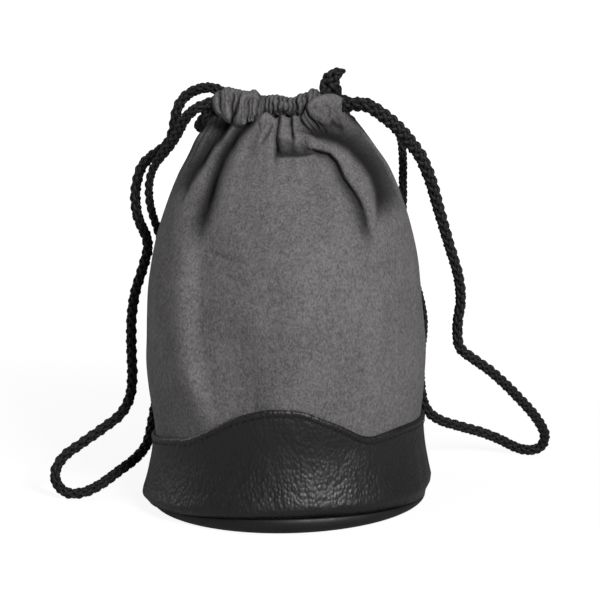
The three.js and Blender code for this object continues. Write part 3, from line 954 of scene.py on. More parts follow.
    # The rear's folds, which also paint shade into the colour
    rear_creases: tuple[Crease, ...] = (
        Crease(
            ((12.0, 158.0), (17.0, 150.0), (22.0, 141.0), (27.0, 128.0), (31.0, 112.0)),
            5.4, 2.6, 1.3, 1.2,
        ),
        Crease(((21.0, 158.0), (27.0, 149.0), (33.0, 138.0), (38.0, 120.0)), 4.4, 3.0, 1.8, 0.8),
        Crease(((2.5, 159.0), (4.5, 149.0), (8.0, 138.0), (10.5, 120.0)), 3.4, 1.4, 2.4, 0.8),
        Crease(((-7.0, 159.0), (-9.5, 148.0), (-13.5, 136.0), (-16.0, 116.0)), 4.2, 1.4, 2.6, 0.9),
        Crease(((-15.0, 158.0), (-21.0, 149.0), (-27.0, 137.0), (-32.0, 114.0)), 5.6, 1.3, 3.0, 1.2),
        Crease(((-23.0, 158.0), (-30.0, 147.0), (-36.0, 134.0), (-40.0, 118.0)), 4.0, 1.8, 3.0, 0.8),
    )

    def _level(self, share: float, top: float) -> float:
        """The height of an outer row, with rows closer together near the mouth.

        Args:
            share: From 0 at the bottom to 1 at the mouth.
            top: The height of the mouth's edge there.

        Returns:
            The height in millimetres.
        """
        if share < self.low_rows:
            return self.bottom + (self.low_height - self.bottom) * share / self.low_rows
        return self.low_height + (top - self.low_height) * (share - self.low_rows) / (1.0 - self.low_rows)

    def _depth(self, z: float, top: float, angle: float) -> float:
        """Half the depth at a height, which ends at the mouth's edge.

        Args:
            z: The height in millimetres.
            top: The height of the mouth's edge at this angle.
            angle: Degrees round the axis from the front.

        Returns:
            Half the depth in millimetres.
        """
        if z <= self.bend_height:
            return self.half_depth.at(z)
        start, end = self.half_depth.at(self.bend_height), self.top_depth.at(angle)
        t = clamp((z - self.bend_height) / (top - self.bend_height))
        return start + (end - start) * (1.0 - (1.0 - t) ** self.bend_power)

    def _soft(self, x: float, y: float, z: float) -> float:
        """Slow unevenness of soft suede above the band.

        Args:
            x: Across, in millimetres.
            y: Back, in millimetres.
            z: Up, in millimetres.

        Returns:
            How far the suede stands out, in millimetres.
        """
        slow = noise.noise(Vector((x, y, z * self.slow_stretch)) * self.slow_scale)
        moved = Vector((x + self.quick_offset, y, z * self.quick_stretch))
        quick = noise.noise(moved * self.quick_scale)
        return (self.slow_softness * slow + self.quick_softness * quick) * rise(z, *self.soft_from)

    def _relief(self, angle: float, z: float) -> float:
        """Ripples near the mouth, the lift of the smooth right lobe, and the side seams.

        Args:
            angle: Degrees round the axis from the front.
            z: The height in millimetres.

        Returns:
            How far the suede stands out, in millimetres.
        """
        plain = rise(angle, *self.plain_from) * (1.0 - rise(angle, *self.plain_until))
        wave = math.sin(self.ripple_rate * angle + self.ripple_shift * math.sin(self.shift_rate * angle))
        ripple = self.ripple * rise(z, *self.ripple_from) * (1.0 - plain) * wave
        along = rise(angle, *self.lobe_from) * (1.0 - rise(angle, *self.lobe_until))
        lobe = along * rise(z, *self.lobe_rise)
        seam = self.seam_depth * bump(abs(angle) - 90.0, self.seam_width)
        return ripple + self.lobe_lift * lobe - seam

    def _folds(self, x: float, z: float, front: bool) -> tuple[float, float]:
        """What the folds that run out of the gathers do at a point.

        Args:
            x: Across, in millimetres.
            z: Up, in millimetres.
            front: Whether the point is on the front.

        Returns:
            How far they press the suede in, in millimetres, and how dark the shade they paint there is.
        """
        felt = [crease.feel(x, z) for crease in (self.creases if front else self.rear_creases)]
        if front:
            felt.append(self.pocket.feel(x, z))
        # The painted shades of the creases and the pocket stack
        light = math.prod(1.0 - dark for _, dark in felt)
        return sum(press for press, _ in felt), 1.0 - light

    def _wall(self, angle: float, z: float, top: float, smooth: bool = False) -> tuple[Vector, Vector, float]:
        """A point of the outer face at a height.

        Args:
            angle: Degrees round the axis from the front.
            z: The height in millimetres.
            top: The height of the mouth's edge at this angle.
            smooth: Leaves out the folds that run out of the gathers.

        Returns:
            The point in millimetres, the way out from it, and how dark the shade painted there is.
        """
        fuller = sum(swell.at(angle, z) for swell in self.swells)
        a, b = self.half_width.at(z) + fuller, self._depth(z, top, angle)
        turn = math.radians(angle)
        x, y = a * math.sin(turn), -b * math.cos(turn)
        out = Vector((b * math.sin(turn), -a * math.cos(turn), 0.0)).normalized()
        front = abs(angle) < 90.0
        facing = rise(abs(math.cos(turn)), 0.0, self.turned_away)
        press, dark = self._folds(x, z, front) if z > self.folds_from and not smooth else (0.0, 0.0)
        if front:
            # The band holds the suede, so the slow folds are shallow beside it
            freed = self.held_share + (1.0 - self.held_share) * rise(z, *self.free_from)
            for fold in self.slow_folds:
                # The slow folds add their painted shade too
                more, more_shade = fold.feel(x, z)
                press, dark = press + more * freed, dark + more_shade * (1.0 - dark)
        point = Vector((x, y, z)) + out * (self._soft(x, y, z) + self._relief(angle, z))
        point.x += self.lean * max(0.0, z - self.lean_start)
        point.y += press * facing * (1.0 if front else -1.0)
        # The painted shade fades where the wall turns to the sides
        return point, out, dark * facing

    def _inside(self, angle: float, share: float, top: float) -> Vector:
        """A point of the inner face.

        Args:
            angle: Degrees round the axis from the front.
            share: From 0 at the mouth's edge to 1 at the bottom.
            top: The height of the mouth's edge at this angle.

        Returns:
            The point in millimetres.
        """
        turned = top - self.inner_turn
        # Half of the rows lie close together behind the edge
        if share < 0.5:
            z = top - self.inner_turn * share / 0.5
        else:
            z = turned + (self.bottom - turned) * (share - 0.5) / 0.5
        point, out, _ = self._wall(angle, z, top)
        edge = rise(z, top - self.edge_blend, top)
        inward = self.thickness + (2 * self.edge_radius - self.thickness) * edge
        folded = point - out * inward
        # Below the edge it keeps clear of the folds, behind the deepest of them
        plain = self._wall(angle, z, top, smooth=True)[0]
        deep = plain - out * (self.thickness + self.fold_room * rise(z, *self.room_from))
        low, high = self.clear_below
        return folded.lerp(deep, 1.0 - rise(z, top - low, top - high))

    def place(self, angle: float, row: int) -> tuple[Vector, float]:
        """Where a point of the body lies.

        Args:
            angle: Degrees round the axis from the front.
            row: Counted up the outer face, over the turned edge and down the inner face.

        Returns:
            The point in millimetres, and how dark the shade painted there is.
        """
        top = self.top_edge.at(angle)
        if row <= self.outer_rows:
            point, _, dark = self._wall(angle, self._level(row / self.outer_rows, top), top)
            return point, dark
        row -= self.outer_rows
        if row <= self.edge_rows:
            point, out, dark = self._wall(angle, top, top)
            swing = math.pi * row / self.edge_rows
            point -= out * self.edge_radius * (1.0 - math.cos(swing))
            point.z += self.edge_radius * math.sin(swing)
            return point, dark
        # The inner face gets an even painted shade
        return self._inside(angle, (row - self.edge_rows) / self.inner_rows, top), self.inner_dark

    def build(self, suede: bpy.types.Material) -> bpy.types.Object:
        """Args:
            suede: The material.

        Returns:
            The piece.
        """
        rows = self.outer_rows + self.edge_rows + self.inner_rows
        mesh = tube_grid(self.columns, rows)
        # This layer holds the painted shade that the suede's material reads
        fold = mesh.verts.layers.float.new(FOLD_SHADE_LAYER)
        for vert in mesh.verts:
            share = from_front(vert.co) / 180.0
            # The columns stand closer together at the front
            angle = 180.0 * share * (self.front_spacing + (1.0 - self.front_spacing) * share * share)
            point, vert[fold] = self.place(angle, round(vert.co.z * rows))
            vert.co = point * MM
        bmesh.ops.bridge_loops(mesh, edges=[e for e in mesh.edges if e.is_boundary])
        bmesh.ops.smooth_vert(
            mesh, verts=mesh.verts, factor=self.smoothing, use_axis_x=True, use_axis_y=True, use_axis_z=True
        )
        bmesh.ops.recalc_face_normals(mesh, faces=mesh.faces)
        piece = put(mesh, "suede_body", suede)
        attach(piece, Body.POUCH.value)
        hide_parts("front_panel", "rear_panel")
        return piece


@dataclass(frozen=True)
class Pleat:
    """One gather of a tunnel, in millimetres.

    Attributes:
        at: Where it lies along the tunnel, at half the height.
        lean: How far it leans to the right from there to the top.
        depth: How far it sinks in.
        width: How wide it is.
        low: The share of the height where it starts, from -1 to 1.
        high: The share of the height where it ends.
        fade: The share of the height over which it sets in and runs out.
    """

    at: float
    lean: float
    depth: float
    width: float
    low: float = -1.6
    high: float = 1.6
    fade: float = 0.3

    def line(self, up: float) -> float:
        """Where the pleat lies at a share of the height from -1 to 1."""
        return self.at + self.lean * up

    def strength(self, up: float) -> float:
        """How much of the pleat is left at a share of the height."""
        ended = rise(up, self.high - self.fade, self.high + self.fade)
        return rise(up, self.low - self.fade, self.low + self.fade) * (1.0 - ended)


@dataclass
class DrawTunnel:
    """A gathered drawstring tunnel along one long side of the mouth.

    Lengths are in millimetres, but for the flat size of its sheet in metres, which nothing reads.
    """

    facing: Facing
    front_ends: Span = (-28.2, 17.5)
    rear_ends: Span = (-20.5, 19.5)
    rear_sag: float = 3.0
    sag_width: float = 13.0
    lean: float = 1.3
    stations: int = 320
    around: int = 48
    thickness: float = 0.9
    flat: Span = (0.056, 0.04)
    seed: int = 3
    section_power: float = 0.78
    wander: float = 0.9
    main_depth: float = 1.25
    pleat_reach: float = 5.0
    pleat_power: float = 0.95
    shadow_width: float = 1.1
    puff_reach: float = 3.0
    cushion: float = 0.23
    arch_power: float = 0.7
    sink: float = 0.7
    slack: float = 0.3
    inner_fullness: float = 0.3
    drift_out: float = 0.6
    drift_along: float = 0.3
    upward: float = 0.7
    # How strong the shade painted into the pleats and the sunk lower part is
    pleat_dark: float = 0.45
    most_dark: float = 0.85
    sunk_dark: float = 0.62
    sunk_from: Span = (-10.0, -6.0)
    sunk_until: Span = (160.5, 168.5)
    end_draw: float = 0.25
    end_length: float = 2.2
    front_pleats: tuple[Pleat, ...] = (
        Pleat(-24.3, 0.1, 1.4, 0.6, -0.5), Pleat(-22.2, -0.1, 1.0, 0.45, -0.2),
        Pleat(-20.5, 0.0, 1.2, 0.45, 0.1), Pleat(-19.4, 0.5, 1.4, 0.5, -1.6, 0.8),
        Pleat(-17.9, 1.95, 2.7, 0.48, -1.6, 0.9), Pleat(-17.4, 0.1, 1.1, 0.45, 0.5),
        Pleat(-15.6, 1.2, 1.0, 0.42, -0.8, 0.5), Pleat(-14.2, 1.4, 1.2, 0.45, -0.4),
        Pleat(-12.7, 1.4, 2.0, 0.5, -1.6, 0.8), Pleat(-11.2, 1.3, 1.3, 0.45, -0.9, 0.8),
        Pleat(-9.4, 1.1, 1.7, 0.5), Pleat(-7.9, 0.4, 1.3, 0.45), Pleat(-6.3, 0.1, 1.7, 0.5),
        Pleat(-4.7, 0.1, 1.3, 0.45), Pleat(-3.1, 0.0, 1.5, 0.5), Pleat(-1.0, 0.0, 1.8, 0.55),
        Pleat(0.7, 0.1, 1.3, 0.45), Pleat(2.4, 0.1, 1.7, 0.5), Pleat(4.4, 0.2, 1.3, 0.45),
        Pleat(6.0, 0.3, 1.8, 0.5), Pleat(8.0, 0.5, 1.3, 0.45), Pleat(9.6, 0.7, 1.8, 0.55),
        Pleat(11.9, 0.8, 1.3, 0.5), Pleat(14.5, 0.6, 1.4, 0.7),
    )
    front_wall: Profile = Profile(
        (
            (-28.4, 10.6), (-26.5, 14.0), (-23.0, 16.4), (-19.0, 17.2), (-15.0, 17.0), (-11.0, 15.6),
            (-8.0, 13.6), (-4.0, 12.8), (28.0, 12.8),
        )
    )
    top: Profile = Profile(
        (
            (-28.4, 168.4), (-26.5, 170.7), (-23.0, 172.9), (-20.6, 172.8), (-16.6, 172.3), (-13.6, 171.4),
            (-10.5, 172.0), (-8.1, 170.0), (-5.0, 169.9), (-1.5, 169.9), (1.5, 169.0), (4.5, 168.9),
            (6.5, 169.9), (9.8, 170.8), (12.0, 172.0), (14.5, 171.4), (18.0, 168.5), (28.0, 166.0),
        )
    )
    low: Profile = Profile(
        (
            (-28.4, 165.6), (-26.0, 162.9), (-22.5, 160.3), (-20.0, 158.8), (-15.0, 158.1), (-12.5, 159.0),
            (-9.0, 160.0), (-4.0, 159.4), (28.0, 159.4),
        )
    )
    back_wall: float = 4.5
    rear_wall: float = 13.2
    rear_low: float = 155.2
    rear_top: float = 168.4

    def _section(self, x: float) -> tuple[float, float, float, float]:
        """The tunnel's section at a place along it.

        Args:
            x: Along the tunnel, in millimetres.

        Returns:
            Its inner wall, outer wall, lowest and highest, in millimetres.
        """
        if self.facing is Facing.FRONT:
            return self.back_wall, self.front_wall.at(x), self.low.at(x), self.top.at(x)
        dip = self.rear_sag * bump(x, self.sag_width)
        return self.back_wall, self.rear_wall, self.rear_low - dip, self.rear_top - dip

    def pleats(self) -> list[Pleat]:
        """The gathers' pleats.

        Returns:
            The pleats from left to right.
        """
        if self.facing is Facing.FRONT:
            return list(self.front_pleats)
        draw = random.Random(self.seed)
        at, rows = self.rear_ends[0] + 1.0, []
        while at < self.rear_ends[1] - 1.0:
            lean, depth, width = draw.uniform(-0.5, 0.5), draw.uniform(0.9, 2.2), draw.uniform(0.5, 0.75)
            rows.append(Pleat(at, lean, depth, width))
            at += draw.uniform(1.5, 2.6)
        return rows

    def _gathers(
        self, x: float, up: float, drift: float, pleats: Sequence[Pleat]
    ) -> tuple[float, float, float]:
        """What the pleats do at a point.

        Args:
            x: Along the tunnel, in millimetres.
            up: The share of the height from -1 to 1.
            drift: How far the pleats wander there, from -1 to 1.
            pleats: The gathers' pleats.

        Returns:
            How far the suede stands out between two main pleats, how far it sinks in, and how much shade is
            painted there.
        """
        valley, shadow = 0.0, 0.0
        before, after = x - self.puff_reach, x + self.puff_reach
        for pleat in pleats:
            line = pleat.line(up) + self.wander * drift
            away = abs(x - line) / pleat.width
            if away < self.pleat_reach:
                valley += pleat.depth * pleat.strength(up) * math.exp(-(away**self.pleat_power))
                shadow += pleat.depth * pleat.strength(up) * bump(away, self.shadow_width)
            if pleat.depth > self.main_depth and line <= x:
                before = max(before, line)
            elif pleat.depth > self.main_depth:
                after = min(after, line)
        span = after - before
        arch = max(0.0, 1.0 - (2.0 * (x - before) / span - 1.0) ** 2) ** self.arch_power
        return self.cushion * span * arch, valley, shadow

    def place(self, turn: float, share: float, pleats: Sequence[Pleat]) -> tuple[Vector, float]:
        """Where a point of the tunnel lies.

        Args:
            turn: Radians round the section, 0 on the outer wall and a quarter turn at the top.
            share: From 0 at the left end to 1 at the right end.
            pleats: The gathers' pleats.

        Returns:
            The point in millimetres, and how dark the shade painted there is.
        """
        left, right = self.front_ends if self.facing is Facing.FRONT else self.rear_ends
        x = left + (right - left) * share
        inner, outer, low, high = self._section(x)
        c, s = math.cos(turn), math.sin(turn)
        across = math.copysign(abs(c) ** self.section_power, c)
        up = math.copysign(abs(s) ** self.section_power, s)
        y = (inner + outer) / 2 + (outer - inner) / 2 * across
        z = (low + high) / 2 + (high - low) / 2 * up
        drift = noise.noise(Vector((x * 0.3, s * 1.4 + self.seed, 2.6 * c)))
        cushion, valley, shadow = self._gathers(x, up, drift, pleats)
        uneven = 0.9 + 0.8 * noise.noise(Vector((x * 0.45, turn * 1.2, 4.0 + self.seed)))
        # The gathers are flatter on the inner wall
        fullness = self.inner_fullness + (1.0 - self.inner_fullness) * rise(across, -0.9, 0.1)
        relief = cushion - self.slack - self.sink * valley * uneven
        puff = relief * fullness + self.drift_out * drift
        sign = self.facing.value
        middle = Vector((x, sign * (inner + outer) / 2, (low + high) / 2))
        spot = Vector((x + self.drift_along * drift, sign * (y + puff * across), z + puff * up * self.upward))
        by_left = 1.0 - rise(x, left, left + self.end_length)
        by_right = rise(x, right - self.end_length, right)
        drawn = spot + (middle - spot) * (self.end_draw * max(by_right, by_left))
        # Shade is painted into the lower part where the tunnel lies back behind the body's edge
        sunk_shade = self.sunk_dark * rise(x, *self.sunk_from) * (1.0 - rise(z, *self.sunk_until))
        # The pleats' painted shade, with the sunk part's painted shade over it
        dark = clamp(self.pleat_dark * shadow * uneven, 0.0, self.most_dark) * (1.0 - sunk_shade) + sunk_shade
        return drawn + Vector((self.lean, 0.0, 0.0)), dark

    def build(self, suede: bpy.types.Material) -> bpy.types.Object:
        """Builds the tunnel.

        Args:
            suede: The material.

        Returns:
            The piece.
        """
        pleats = self.pleats()
        mesh = tube_grid(self.around, self.stations)
        # This layer holds the shade painted into the pleats, read by the suede's material
        fold = mesh.verts.layers.float.new(FOLD_SHADE_LAYER)
        for vert in mesh.verts:
            turn = math.atan2(vert.co.y, vert.co.x)
            point, vert[fold] = self.place(turn, vert.co.z, pleats)
            vert.co = point * MM
        bmesh.ops.recalc_face_normals(mesh, faces=mesh.faces)
        name = f"{self.facing.name.lower()}_tunnel"
        piece = put(mesh, name, suede)
        thicken(piece, self.thickness * MM)
        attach(piece, Body.POUCH.value)
        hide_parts(f"{self.facing.name.lower()}_casing")
        return piece


@dataclass
class LeatherBase:
    """The leather band, its stitching, and the dish that it stands on.

    Lengths are in millimetres, and angles in degrees from the front.
    """

    radius: float = 60.0
    edge: Profile = Profile(
        (
            (-180, 50.6), (-165, 48.4), (-150, 42.4), (-137, 36.4), (-120, 31.4), (-105, 29.6),
            (-90, 29.4), (-75, 30.6), (-60, 33.0), (-50, 34.8), (-42, 36.0), (-35, 38.7), (-29, 41.5),
            (-23, 44.6), (-18, 47.1), (-13, 49.0), (-8, 50.4), (-3, 51.3), (4, 51.3), (9, 50.8),
            (13.7, 49.3), (20, 46.2), (26, 43.4), (31, 40.6), (36, 37.9), (42, 36.4), (49, 36.8),
            (60, 37.3), (75, 36.6), (90, 35.8), (115, 35.0), (135, 36.4), (150, 42.4), (165, 48.4),
            (180, 50.6),
        )
    )
    side_bottom: float = 2.8
    front_bottom: float = 7.0
    bottom_tilt: float = 0.6
    side_knee: float = 7.3
    front_knee: float = 10.2
    tilt: float = 2.1
    shift: float = 1.1
    flare_height: float = 23.0
    flare_curve: float = 1.7
    thickness: float = 1.3
    sheet_share: float = 0.9
    gap: float = 0.3
    columns: int = 360
    rows: int = 40
    row_power: float = 2.0
    groove_depth: float = 0.22
    groove_width: float = 0.55
    roll_height: float = 0.25
    roll_drop: float = 1.5
    roll_width: float = 1.0
    edge_round: float = 0.55
    edge_width: float = 0.45
    seam_depth: float = 0.45
    seam_width: float = 0.7
    wide_dent: float = 0.45
    wide_scale: float = 0.045
    small_dent: float = 0.12
    small_scale: float = 0.16
    dent_from: float = 6.0
    stitch_drop: float = 3.0
    stitch_length: float = 2.6
    stitch_pitch: float = 3.4
    stitch_height: float = 0.18
    stitch_width: float = 0.26
    stitch_lift: float = 0.06
    rim_height: float = 6.7
    rim_inset: float = 2.0
    rim_rounding: float = 4.4
    rim_gap: float = 0.3
    rim_blend: float = 5.0
    rim_draw: float = 0.03
    lip_round: float = 0.5
    arc_steps: int = 10
    tuck: float = 2.4
    body: SuedeBody = field(default_factory=SuedeBody)

    def bottom(self, angle: float) -> float:
        """Height of the band's lower edge, which bulges down over the rim at the sides.

        Args:
            angle: Degrees round the axis from the front.

        Returns:
            The height in millimetres.
        """
        turn = math.radians(angle)
        lift = (self.front_bottom - self.side_bottom) * math.cos(turn) ** 2
        return self.side_bottom + lift + self.bottom_tilt * math.sin(turn)

    def knee(self, angle: float) -> float:
        """Height of the band's widest ring.

        Args:
            angle: Degrees round the axis from the front.

        Returns:
            The height in millimetres.
        """
        turn = math.radians(angle)
        lift = (self.front_knee - self.side_knee) * math.cos(turn) ** 2
        return self.side_knee + lift + self.tilt * math.sin(turn)

    def outer(self, z: float, angle: float) -> float:
        """Outer radius of the band.

        Args:
            z: The height in millimetres.
            angle: Degrees round the axis from the front.

        Returns:
            The radius in millimetres.
        """
        wall = self.gap + self.thickness
        bottom, knee = self.bottom(angle), self.knee(angle)
        foot = self.body.half_width.at(bottom) + wall
        low = clamp(1.0 - (z - knee) / self.flare_height)
        tuck = self.tuck * (1.0 - rise(z, bottom, knee))
        wide = self.radius - foot - self.shift * math.sin(math.radians(angle))
        return self.body.half_width.at(z) + wall + wide * low**self.flare_curve - tuck

    def _place(self, angle: float, share: float) -> Vector:
        """A point of the band's outer face, with the stitches' groove, the turned edge and the side seams.

        Args:
            angle: Degrees round the axis from the front.
            share: From 0 at the lower edge to 1 at the wavy one.

        Returns:
            The point in millimetres.
        """
        top = self.edge.at(angle)
        below = (1.0 - share) ** self.row_power * (top - self.bottom(angle))
        z = top - below
        r = self.outer(z, angle)
        r -= self.groove_depth * bump(below - self.stitch_drop, self.groove_width)
        r += self.roll_height * bump(below - self.roll_drop, self.roll_width)
        r -= self.edge_round * bump(below, self.edge_width)
        r -= self.seam_depth * bump(abs(angle) - 90.0, self.seam_width)
        turn = math.radians(angle)
        spot = Vector((r * math.sin(turn), -r * math.cos(turn), z))
        wide = noise.noise(spot * self.wide_scale) * self.wide_dent
        small = noise.noise(spot * self.small_scale) * self.small_dent
        spot.xy *= 1.0 + (wide + small) * rise(below, 0.0, self.dent_from) / r
        return spot

    def build_band(self, grain: bpy.types.Material) -> bpy.types.Object:
        """Builds the band.

        Args:
            grain: The leather's material.

        Returns:
            The piece.
        """
        mesh = tube_grid(self.columns, self.rows)
        for vert in mesh.verts:
            vert.co = self._place(from_front(vert.co), vert.co.z) * MM
        bmesh.ops.recalc_face_normals(mesh, faces=mesh.faces)
        piece = put(mesh, "leather_band", grain)
        thicken(piece, self.thickness * self.sheet_share * MM)
        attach(piece, Body.POUCH.value)
        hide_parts("front_band", "rear_band")
        return piece

    def build_stitches(self, thread: bpy.types.Material) -> bpy.types.Object:
        """Builds the row of stitches under the band's wavy edge.

        Args:
            thread: The thread's material.

        Returns:
            The piece.
        """
        mesh = bmesh.new()
        angle, look_ahead = -180.0, 0.5
        half = Vector((self.stitch_length / 2, self.stitch_height, self.stitch_width)) * MM
        while angle < 180.0:
            here, ahead = self._stitch_point(angle), self._stitch_point(angle + look_ahead)
            along = (ahead - here).normalized()
            out = Vector((here.x, here.y, 0.0)).normalized()
            up = along.cross(out).normalized()
            turn = Matrix((along, out, up)).transposed().to_4x4()
            place = Matrix.Translation(here * MM) @ turn @ Matrix.Diagonal((*half, 1.0))
            bmesh.ops.create_uvsphere(mesh, u_segments=8, v_segments=6, radius=1.0, matrix=place)
            step = (ahead - here).length / look_ahead
            angle += self.stitch_pitch / step
        piece = put(mesh, "band_stitches", thread)
        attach(piece, Body.POUCH.value)
        return piece

    def _stitch_point(self, angle: float) -> Vector:
        """The middle of the stitch line.

        Args:
            angle: Degrees round the axis from the front.

        Returns:
            The point in millimetres.
        """
        z = self.edge.at(angle) - self.stitch_drop
        r = self.outer(z, angle) + self.stitch_lift
        turn = math.radians(angle)
        return Vector((r * math.sin(turn), -r * math.cos(turn), z))

    def _rim_arc(self, flat: float, radius: float, turn: float) -> tuple[float, float]:
        """A point of the rim's rounding, as a distance from the axis and a height."""
        return flat + radius * math.sin(turn), self.rim_rounding - radius * math.cos(turn)

    def build_rim(self, leather: bpy.types.Material) -> bpy.types.Object:
        """Builds the dish under the band by spinning its section.

        Args:
            leather: The rim's material.

        Returns:
            The piece.
        """
        flat = self.radius - self.rim_inset - self.rim_rounding
        side = flat + self.rim_rounding
        turns = [math.pi / 2 * k / self.arc_steps for k in range(self.arc_steps + 1)]
        under = [self._rim_arc(flat, self.rim_rounding, t) for t in turns]
        over = [self._rim_arc(flat, self.rim_rounding - self.thickness, t) for t in reversed(turns)]
        lip = [
            (side, self.rim_height - self.lip_round),
            (side - self.lip_round, self.rim_height),
            (side - self.thickness, self.rim_height),
        ]
        section = [(0.0, 0.0), (flat * 0.5, 0.0), *under, *lip, *over, (0.0, self.thickness)]
        mesh = bmesh.new()
        verts = [mesh.verts.new((r * MM, 0.0, z * MM)) for r, z in section]
        edges = [mesh.edges.new(pair) for pair in zip(verts, verts[1:])]
        bmesh.ops.spin(
            mesh, geom=[*verts, *edges], cent=(0, 0, 0), axis=(0, 0, 1), dvec=(0, 0, 0),
            angle=2 * math.pi, steps=144, use_merge=True,
        )
        bmesh.ops.remove_doubles(mesh, verts=mesh.verts, dist=1e-6)
        for vert in mesh.verts:
            angle = from_front(vert.co)
            edge = rise(vert.co.xy.length / MM, flat - self.rim_blend, flat)
            # The rim stops just under the band and is drawn in at the sides
            vert.co.z *= 1.0 + ((self.bottom(angle) - self.rim_gap) / self.rim_height - 1.0) * edge
            vert.co.xy *= 1.0 - self.rim_draw * math.sin(math.radians(angle)) ** 2 * edge
        bmesh.ops.recalc_face_normals(mesh, faces=mesh.faces)
        piece = put(mesh, "base_rim", leather)
        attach(piece, Body.POUCH.value)
        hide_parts("bottom_panel")
        return piece


